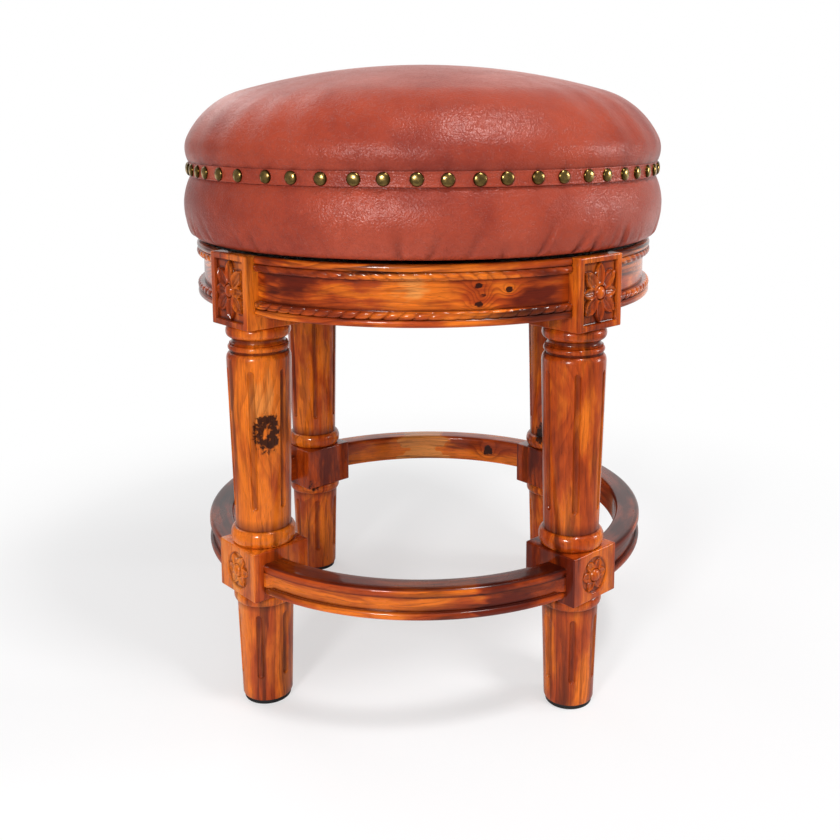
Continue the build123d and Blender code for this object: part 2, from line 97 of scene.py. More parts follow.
def number(label, words, default):
    """How many of something."""
    return setting(label, words, default, bpy.props.IntProperty, min=1)


def turn(label, words, default):
    """An angle, in degrees here and in radians for Blender."""
    return setting(label, words, radians(default), unit="ROTATION")


def values_of(label, words, default, **limits):
    """Several values that belong together."""
    return setting(label, words, default, bpy.props.FloatVectorProperty, **limits)


def colour(label, words, default):
    """A colour, written as it looks on screen in red, green and blue up to 255."""
    linear = [((part / 255 + 0.055) / 1.055) ** 2.4 for part in default]
    return values_of(label, words, linear, min=0, max=1, size=3, subtype="COLOR")


class LegSizes(bpy.types.PropertyGroup):
    """Sizes of a turned leg and its carving."""

    square: length("Block width", "Width of the square blocks", 0.064)
    lower_block_base: length("Lower block base", "Height of the lower block's foot", 0.119)
    lower_block_top: length("Lower block top", "Height of the lower block's head", 0.1687)
    top_block_base: length("Top block base", "Height of the top block's foot", leg_high.z - 0.0715)
    block_round: length("Block edge", "Round on the blocks' edges", 0.0013)
    foot_radius: length("Foot radius", "Radius of the shaft at the floor", 0.0252)
    foot_round: length("Foot edge", "Round on the foot's edge", 0.0022)
    lower_shaft_radius: length("Lower shaft radius", "Radius under the lower block", 0.0283)
    lower_bead_height: length("Lower bead height", "Height of the bead under the lower block", 0.0115)
    lower_bead_relief: length("Lower bead relief", "How far that bead stands out", 0.0032)
    collar_height: length("Collar height", "Height of the ring on the lower block", 0.017)
    collar_relief: length("Collar relief", "How far that ring stands out", 0.005)
    shaft_foot_radius: length("Shaft foot radius", "Radius of the tall shaft at its foot", 0.0277)
    shaft_top_radius: length("Shaft head radius", "Radius of the tall shaft at its head", 0.032)
    shoulder_height: length("Shoulder height", "Height of the round at the shaft's head", 0.009)
    neck_radius: length("Neck radius", "Radius between the upper rings", 0.0277)
    astragal_height: length("Thin ring height", "Height of the thin ring over the shaft", 0.007)
    astragal_relief: length("Thin ring relief", "How far the thin ring stands out", 0.0026)
    cove_height: length("Cove height", "Height of the hollow over the thin ring", 0.006)
    cove_depth: length("Cove depth", "Depth of that hollow", 0.0026)
    top_collar_height: length("Top collar height", "Height of the ring under the top block", 0.012)
    top_collar_relief: length("Top collar relief", "How far that ring stands out", 0.0043)
    flutes: number("Flutes", "Flutes round each shaft", 6)
    flute_offset: turn("Flute offset", "Turn of the first flute from the outer side", 30)
    flute_width: length("Flute width", "Width of a flute", 0.0066)
    flute_depth: length("Flute depth", "Depth of a flute", 0.0025)
    lower_flute_base: length("Lower flute base", "Height where the lower flutes start", 0.029)
    lower_flute_top: length("Lower flute top", "Height where the lower flutes stop", 0.0975)
    upper_flute_base: length("Upper flute base", "Height where the upper flutes start", 0.2077)
    upper_flute_top: length("Upper flute top", "Height where the upper flutes stop", 0.3495)
    carving_depth: length("Carving depth", "Depth of the carved fields", 0.003)
    button_radius: length("Button radius", "Radius of the button in a carved flower", 0.0066)
    button_height: length("Button height", "Height of that button", 0.005)
    pad_round: length("Pad edge", "Round on the foot pads' edges", 0.001)


class RailSizes(bpy.types.PropertyGroup):
    """Sizes of the apron and the footrest."""

    apron_thickness: length("Apron thickness", "Thickness of the apron", 0.026)
    bead_height: length("Bead height", "Height of the plain beads", 0.007)
    rope_height: length("Rope height", "Height of the rope beads", 0.0072)
    bead_relief: length("Bead relief", "How far the beads stand out", 0.0021)
    panel_inset: length("Panel inset", "How far the panel lies behind the beads", 0.0068)
    rope_notches: number("Rope notches", "Notches along one rail's rope bead", 24)
    rope_notch_width: length("Notch width", "Width of a rope notch", 0.0011)
    rope_notch_depth: length("Notch depth", "Depth of a rope notch", 0.0018)
    rope_lean: length("Notch lean", "How far a notch leans over the rope's height", 0.0075)
    rest_thickness: length("Footrest thickness", "Thickness of the footrest", 0.026)
    rest_round: length("Footrest round", "Round on the footrest's top edges", 0.004)
    nosing_height: length("Nosing height", "Height of the nosing", 0.0085)
    recess_depth: length("Recess depth", "Depth of the sunk face", 0.0042)
    lip_height: length("Lip height", "Height of the lower lip", 0.008)
    lip_relief: length("Lip relief", "How far the lip stands out", 0.0026)
    recess_stop: length("Recess stop", "Length of the slanted end of the sunk face", 0.011)


class SeatSizes(bpy.types.PropertyGroup):
    """Sizes of the leather seat."""

    leather: length("Leather", "Thickness of the leather", 0.0012)
    crown_drop: length("Crown drop", "Fall of the crown to its shoulder", 0.0272)
    shoulder_width: length("Shoulder width", "Width of the shoulder's round", 0.0545)
    shoulder_rise: length("Shoulder rise", "Height of the shoulder's foot over the deck", 0.026)
    shoulder_reach: length("Shoulder reach", "How far the shoulder's foot stands out from the hoop", 0.0036)
    turn_height: length("Turn height", "Height of the round at the side's foot", 0.008)
    turn_reach: length("Turn reach", "How far the side's foot stands out from the hoop", 0.0036)
    gathers: number("Gathers", "Gathers round the side's foot", 52)
    gather_depth: length("Gather depth", "Depth of the deepest gather", 0.0036)
    gather_width: length("Gather width", "Width of a gather", 0.0042)
    gather_height: length("Gather height", "Height of the longest gather", 0.045)
    pucker_depth: length("Pucker depth", "Depth of the puckers at the nails", 0.0005)
    dent_depth: length("Dent depth", "Depth of the dent that a nail presses in the band", 0.0006)
    nails: number("Nails", "Nails round the band", 57)
    nail_radius: length("Nail radius", "Radius of a nail's head", 0.0065)
    nail_dome: length("Nail dome", "Height of a nail's head", 0.0029)
    nail_jitter: turn("Nail jitter", "Most that a nail strays from its even place", 0.5)


class Finishes(bpy.types.PropertyGroup):
    """Colours of the wood, leather and metal."""

    sapwood: colour("Sapwood", "Palest wood", (232, 158, 82))
    honey: colour("Honey wood", "Light heartwood", (226, 114, 26))
    russet: colour("Russet wood", "Middle heartwood", (176, 68, 14))
    umber: colour("Umber wood", "Dark heartwood", (98, 26, 4))
    # The wood's hollows are darkened by painted shade in wood_nodes, not by this colour.
    streak: colour("Streaks", "Dark streaks, knots and stained hollows", (36, 10, 4))
    # leather_deep is also the base of the painted shade in the leather's creases and seams.
    leather_deep: colour("Leather, deep", "Darker patches of the leather", (132, 42, 26))
    leather_main: colour("Leather", "Main colour of the leather", (160, 62, 40))
    leather_worn: colour("Leather, worn", "Paler patches of the leather", (184, 82, 58))
    brass: colour("Brass", "Bright antique brass", (198, 164, 98))
    brass_dark: colour("Brass, dark", "Dark patina on the brass", (74, 54, 18))
    lacquer: colour("Black lacquer", "Edge of the board under the seat", (24, 22, 21))
    bare_wood: colour("Bare wood", "Hidden sawn wood", (196, 158, 112))
    bare_wood_dark: colour("Bare wood, dark", "Grain of the hidden wood", (142, 100, 62))
    rubber: colour("Rubber", "Foot pads", (30, 29, 28))
    steel: colour("Steel", "Zinc plated swivel and screws", (176, 176, 178))
    nylon: colour("Nylon", "Glide ring of the swivel", (222, 220, 212))


class StageSizes(bpy.types.PropertyGroup):
    """Camera, floor and lamps."""

    camera_place: values_of("Camera", "Place of the camera", (0.0678, -1.1479, 0.5957), unit="LENGTH")
    heading: turn("Heading", "Turn of the view to the left of straight back", 1.817)
    pitch: turn("Pitch", "Tilt of the view below level", 8.401)
    lens: setting("Lens", "Focal length in millimetres", 44.23)
    shift: values_of("Shift", "Shift of the picture for its framing", (-0.0387, -0.1835), size=2)
    floor_reach: length("Floor reach", "Half the floor's width", 6.0)
    floor: colour("Floor", "Colour of the floor", (246, 246, 247))
    floor_glow: share("Floor glow", "How far the floor by the stool is whitened as well", 0.52)
    fade_start: length("Fade start", "Distance where the floor starts to turn white", 0.4)
    fade_end: length("Fade end", "Distance where the floor is white", 0.95)
    front_glow: share("Front glow", "Brightness of the room before the stool as its gloss shows it", 0.22)
    world_level: setting("Room light", "Level of the light from all round", 0.4)
    top_power: setting("Top light", "Power of the lamp overhead", 18.0)
    front_power: setting("Front light", "Power of the lamp in front", 17.0)
    side_power: setting("Side light", "Power of the lamp on the right", 8.0)
    back_power: setting("Back light", "Power of the lamp behind", 8.0)


# Figure of each piece of wood: its tone from pale at 0 to dark at 1, the place of the pith that
# the growth rings go round, knots as (along, across, reach, darkness) with an angle across a leg,
# and on rails shades as (along, height, reach, depth)
# A leg's face value darkens its top block's carved outer face: painted shade under the seat.
leg_figures = {
    "front_left": {
        "tone": 0.30,
        "face": 0.22,
        "flute_turn": 12,
        "pith": (0.045, 0.05),
        "knots": [(0.287, 11, 0.0145, 1.0), (0.235, 150, 0.012, 0.5)],
    },
    "front_right": {
        "tone": 0.50,
        "face": 0.12,
        "flute_turn": -12,
        "pith": (-0.05, 0.03),
        "knots": [(0.325, -20, 0.012, 0.25)],
    },
    "back_right": {
        "tone": 0.45,
        "face": 0.2,
        "flute_turn": 0,
        "pith": (0.03, -0.06),
        "knots": [(0.132, 5, 0.011, 0.9), (0.19, -25, 0.011, 0.8)],
    },
    "back_left": {
        "tone": 0.48,
        "face": 0.2,
        "flute_turn": 0,
        "pith": (-0.04, -0.05),
        "knots": [(0.123, 0, 0.008, 0.9), (0.31, 160, 0.011, 0.5)],
    },
}
apron_figures = {
    "front": {
        "tone": 0.44,
        "pith": (0.02, 0.045),
        "shades": [
            (-0.146, 0.434, 0.009, 0.22),
            (-0.110, 0.437, 0.024, 0.25),
            (-0.058, 0.439, 0.030, 0.18),
            (0.015, 0.433, 0.034, -0.25),
            (0.122, 0.434, 0.022, 0.30),
        ],
        "knots": [
            (-0.116, 0.434, 0.016, 0.10),
            (0.065, 0.4425, 0.0036, 0.75),
            (0.069, 0.4335, 0.0026, 0.6),
            (0.065, 0.4255, 0.0036, 0.75),
            (0.095, 0.438, 0.0026, 1.2),
        ],
    },
    "right": {"tone": 0.5, "pith": (0.05, 0.03), "knots": [(0.06, 0.434, 0.014, 0.35)]},
    "back": {"tone": 0.45, "pith": (0.03, -0.04), "knots": [(-0.05, 0.434, 0.014, 0.35)]},
    "left": {"tone": 0.52, "pith": (0.04, 0.04), "knots": [(0.09, 0.434, 0.016, 0.2)]},
}
rest_figures = {
    "front": {"tone": 0.42, "tone_end": 0.88, "dark_top": 0.9, "pith": (0.04, 0.03), "knots": []},
    "right": {"tone": 0.72, "dark_top": 0.6, "pith": (0.03, 0.05), "knots": [(-0.05, 0.14, 0.012, 0.5)]},
    "back": {
        "tone": 0.46,
        "pale": (-0.012, 0.048),
        "pith": (0.05, 0.02),
        "knots": [(-0.085, 0.142, 0.005, 1.8)],
    },
    "left": {"tone": 0.7, "dark_top": 0.6, "pith": (0.04, -0.04), "knots": [(0.06, 0.14, 0.012, 0.5)]},
}


# Shapes from rows of points


def smooth_step(low, high, value):
    """A soft step from 0 at low to 1 at high."""
    part = np.clip((value - low) / (high - low), 0, 1)
    return part * part * (3 - 2 * part)


def bell(offset, width=1.0):
    """A soft bump, 1 where the offset is 0, that fades over a width."""
    return np.exp(-((offset / width) ** 2))


def wrapped(place, whole=tau):
    """A place on a circle, within half of the whole from 0."""
    return (place + whole / 2) % whole - whole / 2


def even_turns(count):
    """A row of even angles round a circle."""
    return np.linspace(0, tau, count, endpoint=False)[None, :]


def round_axis(radii, heights, facing, centre=(0, 0)):
    """A grid of points at radii, heights and angles round an upright axis."""
    places = centre[0] + radii * np.cos(facing), centre[1] + radii * np.sin(facing), heights
    return np.stack(np.broadcast_arrays(*places), axis=-1)


def tangent_arc(start, end, tangent, steps):
    """Points of an arc that leaves start along tangent, both ends included."""
    start, end, tangent = np.array(start, float), np.array(end, float), np.array(tangent, float)
    side = np.array([-tangent[1], tangent[0]])
    chord = end - start
    radius = chord @ chord / (2 * chord @ side)
    centre = start + side * radius
    first = atan2(*(start - centre)[::-1])
    last = atan2(*(end - centre)[::-1])
    angles = first + wrapped(last - first) * np.linspace(0, 1, steps + 1)
    return centre + abs(radius) * np.stack([np.cos(angles), np.sin(angles)], axis=1)


def end_tangent(start, end, tangent):
    """Direction in which that arc reaches its end."""
    chord = np.array(end, float) - np.array(start, float)
    unit = chord / np.linalg.norm(chord)
    return 2 * np.dot(tangent, unit) * unit - np.array(tangent, float)


def straight(start, end, steps):
    """Points of a straight run, both ends included."""
    return np.linspace(start, end, steps + 1)


def bead_rows(radius, low, high, relief, steps=10):
    """Points of a round moulding between two heights. A negative relief makes a cove."""
    place = -np.cos(np.linspace(0, pi, steps + 1))
    swell = np.sqrt(1 - place**2)
    return np.stack([radius + relief * swell, (low + high) / 2 + (high - low) / 2 * place], axis=1)


def joined(*runs):
    """One run of points, without the points that repeat where two runs meet."""
    points = np.concatenate(runs)
    apart = np.linalg.norm(np.diff(points, axis=0), axis=1) > 1e-7
    return points[np.concatenate([[True], apart])]


def grid_faces(rows, columns, round_columns, round_rows):
    """Four-sided faces over a grid, facing out when columns run anticlockwise and rows run up."""
    row, column = np.meshgrid(
        np.arange(rows if round_rows else rows - 1),
        np.arange(columns if round_columns else columns - 1),
        indexing="ij",
    )
    here, above = row * columns, (row + 1) % rows * columns
    beside = (column + 1) % columns
    corners = [here + column, here + beside, above + beside, above + column]
    return np.stack(corners, axis=-1).reshape(-1, 4).tolist()


def skin(points, round_columns=True, round_rows=False, caps=(), **layers):
    """A grid of points with its faces, closing faces and named layers of values."""
    rows, columns = points.shape[:2]
    faces = grid_faces(rows, columns, round_columns, round_rows)
    if "foot" in caps:
        faces.append(list(range(columns))[::-1])
    if "head" in caps:
        faces.append(list(range((rows - 1) * columns, rows * columns)))
    if "sides" in caps:
        faces.append([row * columns for row in range(rows)])
        faces.append([row * columns + columns - 1 for row in range(rows)][::-1])
    flat_layers = {}
    for name, values in layers.items():
        shape = points.shape if name == "grain" else (rows, columns)
        flat_layers[name] = np.broadcast_to(values, shape).reshape(rows * columns, -1)
    return {"points": points.reshape(-1, 3), "faces": faces, "layers": flat_layers}


def make_piece(name, skins, material, body, replaced, crease=38):
    """One object from skins, riding on a body, with the model's finish slot and the nodes it stands for."""
    points = np.concatenate([part["points"] for part in skins])
    faces, first = [], 0
    for part in skins:
        faces += [[corner + first for corner in face] for face in part["faces"]]
        first += len(part["points"])
    mesh = bpy.data.meshes.new(name)
    mesh.from_pydata(points.tolist(), [], faces)
    for layer in skins[0]["layers"]:
        values = np.concatenate([part["layers"][layer] for part in skins]).astype(np.float32)
        kind, field = ("FLOAT_VECTOR", "vector") if layer == "grain" else ("FLOAT", "value")
        mesh.attributes.new(layer, kind, "POINT").data.foreach_set(field, values.ravel())
    mesh.materials.append(material)
    mesh.shade_smooth()
    mesh.set_sharp_from_angle(angle=radians(crease))
    piece = bpy.data.objects.new(name, mesh)
    bpy.context.scene.collection.objects.link(piece)
    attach(piece, body)
    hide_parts(*replaced)
    return piece


# Wood figure carried by the mesh


def knot_fields(figure, along, across, turned_radius=None):
    """Darkness and swirl of a piece's knots. Across is an angle on turned work, where its radius is given."""
    ringed_reach = 0.014
    stain = np.zeros(np.broadcast(along, across).shape)
    swirl = np.zeros_like(stain)
    for knot_along, knot_across, reach, darkness in figure["knots"]:
        if turned_radius is None:
            gap = across - knot_across
        else:
            gap = wrapped(across - figure["viewed_from"] - radians(knot_across)) * turned_radius
        distance = ((along - knot_along) / (reach * 1.5)) ** 2 + (gap / reach) ** 2
        eye = 0.8 * (reach > ringed_reach) * np.exp(-distance / 0.13)
        stain += darkness * (np.exp(-(distance**1.5) * 0.9) - eye)
        swirl += np.exp(-distance / 4)
    return np.clip(stain, 0, 1), swirl


def turned_layers(figure, points, centre, hollow, tone=0.0):
    """Layers of a leg's wood, whose grain runs up."""
    right, back, up = np.moveaxis(points - np.array([centre.x, centre.y, 0]), -1, 0)
    pith_right, pith_back = figure["pith"]
    stain, swirl = knot_fields(figure, up, np.arctan2(back, right), np.hypot(right, back))
    return {
        "grain": np.stack([up + figure["along"], right + pith_right, back + pith_back], axis=-1),
        "tone": figure["tone"] + tone,
        "stain": stain,
        # hollow is painted shade in hollows and corners.
        "hollow": np.clip(hollow, 0, 1),
        "swirl": swirl,
    }


# Legs


def flute_dents(sizes, radii, heights, turns, flutes):
    """Depth of the flutes at each point of a shaft, between two heights."""
    half = sizes.flute_width / 2
    past_end = np.maximum(0, np.maximum(flutes[0] + half - heights, heights - (flutes[1] - half)))
    reach = np.hypot(wrapped(turns - sizes.flute_offset, tau / sizes.flutes) * radii, past_end) / half
    return sizes.flute_depth * np.sqrt(np.clip(1 - reach**2, 0, 1))


def flute_turns(sizes):
    """Angles of the columns round a shaft, close together at the flutes."""
    half_turn = sizes.flute_width / 2 / sizes.shaft_top_radius * 1.07
    side = np.array([0.3, 0.6, 0.85, 0.97, 1.06, 1.3])
    close = np.concatenate([-side[::-1], [0], side]) * half_turn
    step = tau / sizes.flutes
    wide = np.linspace(close[-1], step + close[0], 6)[1:-1]
    middles = sizes.flute_offset + step * np.arange(sizes.flutes)
    return (middles[:, None] + np.concatenate([close, wide])).reshape(1, -1)


def shaft_rows(low, high, flutes, ends):
    """Points up a tapering shaft between two radii, close together at the flutes' ends."""
    base, top = flutes
    outside, inside = 0.001, 0.005
    fine = [np.linspace(base - outside, base + inside, 9), np.linspace(top - inside, top + outside, 9)]
    heights = np.unique(np.concatenate([np.linspace(low, high, 16), *fine]))
    return np.stack([ends[0] + (ends[1] - ends[0]) * (heights - low) / (high - low), heights], axis=1)


def turned_skin(sizes, facing, centre, figure, profile, flutes):
    """Skin of turned work round a leg's axis, with flutes between two heights and painted shade in its
    hollows.
    """
    level_step, spread, shade_depth = 0.0005, 8, 0.0016
    turns, radii, heights = flute_turns(sizes), profile[:, :1], profile[:, 1:]
    dents = flute_dents(sizes, radii, heights, turns, flutes)
    points = round_axis(radii - dents, heights, turns + radians(figure["flute_turn"]) + facing, centre)
    levels = np.arange(profile[0, 1], profile[-1, 1], level_step)
    along = np.pad(np.interp(levels, profile[:, 1], profile[:, 0]), spread, mode="edge")
    along = np.convolve(along, np.ones(2 * spread + 1) / (2 * spread + 1), mode="valid")
    below = np.interp(heights, levels, along) - radii
    # Painted shade: darker in the flutes and where the profile dips below its smoothed line, as in coves and
    # the creases by the rings.
    hollow = 0.58 * (dents / sizes.flute_depth) ** 1.3 + np.clip(below / shade_depth, 0, 0.85)
    return skin(points, caps=("foot", "head"), **turned_layers(figure, points, centre, hollow))


def leaf_relief(across, up, turned, reach, width, depth):
    """Height of one hollowed leaf over the field's floor."""
    along = (up * cos(turned) + across * sin(turned)) / reach
    side = across * cos(turned) - up * sin(turned)
    half = width / 2 * np.sin(pi * np.clip(along, 0, 1) ** 1.35) ** 0.8 + 1e-6
    off_centre = np.abs(side) / half
    edge = smooth_step(1.0, 0.86, off_centre) * (along > 0) * (along < 1)
    hollow = 0.72 * (1 - np.clip(off_centre / 0.78, 0, 1) ** 2) * smooth_step(0.12, 0.4, along)
    vein = 0.15 * bell(off_centre, 0.12) * smooth_step(0.2, 0.4, along)
    return depth * edge * (1 - hollow + vein)


def flower_relief(sizes, across, up, depth, field, leaves):
    """Height of a carved flower with a button against the block's face."""
    radius, distance = sizes.button_radius, np.hypot(across, up)
    button_floor = -0.75 * depth
    height = -depth * field
    for turned, reach, width in leaves:
        height = np.maximum(height, -depth + leaf_relief(across, up, turned, reach, width, depth * 1.08))
    ring = 0.55 * depth * (smooth_step(radius * 1.32, radius * 1.18, distance) - 1)
    height = np.where(distance < radius * 1.32, np.maximum(ring, height), height)
    height = np.where(distance < radius * 1.1, button_floor, height)
    button = button_floor + sizes.button_height * np.sqrt(np.clip(1 - (distance / radius) ** 2, 0, 1))
    height = np.where(distance < radius, np.maximum(height, button), height)
    return np.where(field > 0, height, 0)


def top_flower(sizes, across, up):
    """Flower that fills the framed field of a top block."""
    half_width, half_height, wall = 0.0240, 0.0290, 0.0012
    field = smooth_step(half_width + wall, half_width, np.abs(across))
    field = field * smooth_step(half_height + wall, half_height, np.abs(up))
    reaches, widths = (0.0288, 0.0290, 0.0232, 0.0290), (0.0125, 0.0150)
    leaves = [(step * pi / 4, reaches[step % 4], widths[step % 2]) for step in range(8)]
    return flower_relief(sizes, across, up, sizes.carving_depth, field, leaves)


def lower_flower(sizes, across, up):
    """Small flower in the round field of a lower block."""
    radius, wall = 0.0175, 0.002
    field = smooth_step(radius + wall, radius, np.hypot(across, up))
    leaves = [(step * pi / 3 + pi / 6, 0.0172, 0.0105) for step in range(6)]
    return flower_relief(sizes, across, up, sizes.carving_depth * 0.6, field, leaves)


def block_outline(half, edge, fine):
    """Outline of a block from above as (out, across) points and outward directions, its outer face first."""
    flat = half - edge
    points = []
    for side in range(4):
        turned = side * pi / 2
        ahead, aside = cos(turned), sin(turned)
        row = [(half, across, 0.0) for across in np.linspace(-flat, flat, 4 if side else fine)]
        row += [(flat + edge * cos(bend), flat + edge * sin(bend), bend) for bend in (pi / 6, pi / 3)]
        for out, across, bend in row:
            points.append((out * ahead - across * aside, out * aside + across * ahead, turned + bend))
    return np.array(points).T


def block_skin(sizes, facing, centre, figure, low, high, flower, face_shade, side_tone, board_radius=None):
    """Skin of a square block with a carved outer face, cut back for the board where its radius is given."""
    half, edge = sizes.square / 2, sizes.block_round
    columns, row_step = 112, 0.0006
    out, across, facings = block_outline(half, edge, columns)
    bends = np.linspace(0, pi / 2, 4)
    level = np.linspace(low + edge, high - edge, int((high - low) / row_step))
    heights = np.concatenate([low + edge - edge * np.cos(bends), level, high - edge + edge * np.sin(bends)])
    tucks = np.concatenate([edge - edge * np.sin(bends), 0 * level, edge - edge * np.cos(bends)])
    keep = np.concatenate([[True], np.diff(heights) > 1e-7])
    heights, tucks = heights[keep][:, None], tucks[keep][:, None]
    relief = np.where(out > half - 1e-6, flower(sizes, across, heights - (low + high) / 2), 0)
    out_there = out - tucks * np.cos(facings) + relief
    across_there = across - tucks * np.sin(facings)
    if board_radius is not None:
        cut = np.searchsorted(heights[:, 0], board_low.z)
        rows = np.insert(np.arange(len(heights)), cut, cut)
        heights, relief = heights[rows], relief[rows]
        out_there, across_there = out_there[rows], across_there[rows]
        heights[cut : cut + 2] = board_low.z
        limit = np.sqrt(board_radius**2 - across_there[cut + 1 :] ** 2) - leg_axis_radius
        out_there[cut + 1 :] = np.maximum(out_there[cut + 1 :], limit)
    distance, bearing = np.hypot(out_there, across_there), np.arctan2(across_there, out_there)
    points = round_axis(distance, heights, bearing + facing, centre)
    reach, shade_depth = 4, 0.0011
    around = np.pad(relief, reach + 1, mode="edge")
    for axis in (0, 1):
        around = sum(np.roll(around, step, axis=axis) for step in range(-reach, reach + 1)) / (2 * reach + 1)
    around = around[reach + 1 : -reach - 1, reach + 1 : -reach - 1]
    # Painted shade: darker on the sunk field's floor and in crevices that lie below the blurred relief round
    # them.
    sunk = 0.35 * np.clip(-relief / sizes.carving_depth, 0, 1)
    hollow = np.clip((around - relief) / shade_depth, 0, 0.5) + sunk
    # face_shade darkens the outer face: painted shade, which the top blocks get under the seat.
    tone = np.where(out > half - 1e-4, face_shade, side_tone)
    return skin(points, caps=("foot", "head"), **turned_layers(figure, points, centre, hollow, tone))


def leg_centre(facing):
    """Place of a leg's axis on the floor."""
    return Vector((cos(facing), sin(facing), 0)) * leg_axis_radius


def leg_skins(sizes, name, angle):
    """Turned work and blocks of one leg."""
    facing = radians(angle)
    centre = leg_centre(facing)
    camera = bpy.context.scene.stool_stage.camera_place
    figure = {
        **leg_figures[name],
        "viewed_from": atan2(camera[1] - centre.y, camera[0] - centre.x),
        "along": 0.37 * list(leg_angles).index(name),
    }
    low_block, high_block, top_block = sizes.lower_block_base, sizes.lower_block_top, sizes.top_block_base
    low_flutes = (sizes.lower_flute_base, sizes.lower_flute_top)
    high_flutes = (sizes.upper_flute_base, sizes.upper_flute_top)
    foot = [
        (sizes.foot_radius - sizes.foot_round, leg_low.z),
        (sizes.foot_radius - sizes.foot_round * 0.3, leg_low.z + sizes.foot_round * 0.3),
        (sizes.foot_radius, leg_low.z + sizes.foot_round),
    ]
    bead_base = low_block - sizes.lower_bead_height
    lower_ends = (sizes.foot_radius, sizes.lower_shaft_radius)
    lower_work = joined(
        foot,
        shaft_rows(foot[-1][1], bead_base, low_flutes, lower_ends),
        bead_rows(sizes.lower_shaft_radius, bead_base, low_block, sizes.lower_bead_relief),
        [(sizes.lower_shaft_radius, low_block + hidden_overlap)],
    )
    ring_gap, cove_step = 0.0012, 0.001
    collar_top = high_block + sizes.collar_height
    top_collar_base = top_block - sizes.top_collar_height
    cove_base = top_collar_base - sizes.cove_height
    astragal_base = cove_base - sizes.astragal_height
    shoulder_base = astragal_base - sizes.shoulder_height
    upper_ends = (sizes.shaft_foot_radius, sizes.shaft_top_radius)
    bend = np.linspace(0, pi / 2, 8)
    neck = sizes.neck_radius
    shoulder = np.stack(
        [
            neck + (sizes.shaft_top_radius - neck) * np.cos(bend),
            shoulder_base + sizes.shoulder_height * 0.8 * np.sin(bend),
        ],
        axis=1,
    )
    upper_work = joined(
        [(sizes.shaft_foot_radius, high_block - hidden_overlap)],
        bead_rows(sizes.shaft_foot_radius, high_block, collar_top, sizes.collar_relief, 14),
        shaft_rows(collar_top, shoulder_base, high_flutes, upper_ends),
        shoulder,
        bead_rows(neck, astragal_base, cove_base - ring_gap, sizes.astragal_relief),
        bead_rows(neck + cove_step, cove_base, top_collar_base, -sizes.cove_depth),
        bead_rows(neck, top_collar_base, top_block, sizes.top_collar_relief, 14),
        [(neck, top_block + hidden_overlap)],
    )
    leg = (sizes, facing, centre, figure)
    return [
        turned_skin(*leg, lower_work, low_flutes),
        block_skin(*leg, low_block, high_block, lower_flower, 0.0, 0.35),
        turned_skin(*leg, upper_work, high_flutes),
        block_skin(*leg, top_block, leg_high.z, top_flower, figure["face"], 0.0, rebate_radius),
    ]


def pad_skin(sizes, angle):
    """Rubber pad under a leg, with rounded edges."""
    radius, edge = (pad_high.x - pad_low.x) / 2, sizes.pad_round
    bends = np.linspace(0, pi / 2, 5)
    foot = np.stack([radius - edge + edge * np.sin(bends), pad_low.z + edge - edge * np.cos(bends)], axis=1)
    profile = joined(foot, [(radius, pad_high.z)])
    points = round_axis(profile[:, :1], profile[:, 1:], even_turns(48), leg_centre(radians(angle)))
    return skin(points, caps=("foot", "head"))


# Apron and footrest


def concave(profile):
    """How deep in a corner each point of a closed section lies, from 0 to 1."""
    full_bend, shade_width = 0.8, 0.0016
    back = profile - np.roll(profile, 1, axis=0)
    ahead = np.roll(profile, -1, axis=0) - profile
    bend = np.arctan2(back[:, 0] * ahead[:, 1] - back[:, 1] * ahead[:, 0], (back * ahead).sum(axis=1))
    gaps = np.linalg.norm(profile[:, None] - profile[None], axis=2)
    return (np.clip(-bend / full_bend, 0, 1) * bell(gaps, shade_width)).max(axis=1)


def section(*runs):
    """One closed section from runs of points, each with its part, without repeated points."""
    points = np.concatenate([run for run, part in runs])
    parts = np.concatenate([np.full(len(run), part) for run, part in runs])
    apart = np.linalg.norm(np.roll(points, -1, axis=0) - points, axis=1) > 1e-7
    return points[apart], parts[apart]


def rail_tones(figure, along, heights):
    """Tone of the wood along a rail, and the stain round its pale patch."""
    wave = 0.006 * np.sin(heights * 300) + 0.003 * np.sin(heights * 800 + 2)
    change = figure.get("tone_end", figure["tone"]) - figure["tone"]
    tone = figure["tone"] + change * smooth_step(0.064, 0.074, along + wave)
    for place, height, reach, depth in figure.get("shades", []):
        off_line = (along - place + 0.004 * np.sin(heights * 420 + place * 90)) / reach
        tone = tone + depth * np.exp(-(off_line**4) - ((heights - height) / 0.024) ** 2)
    if "pale" not in figure:
        return tone, 0
    (low, high), soft = figure["pale"], 0.004
    wander = 0.008 * np.sin(heights * 260) + 0.004 * np.sin(heights * 700 + 1)
    pale = smooth_step(low - soft, low + soft, along + wander)
    pale = pale * smooth_step(high + soft, high - soft, along - wander)
    return tone * (1 - pale) - 0.25 * pale, 1.5 * pale * (1 - pale)


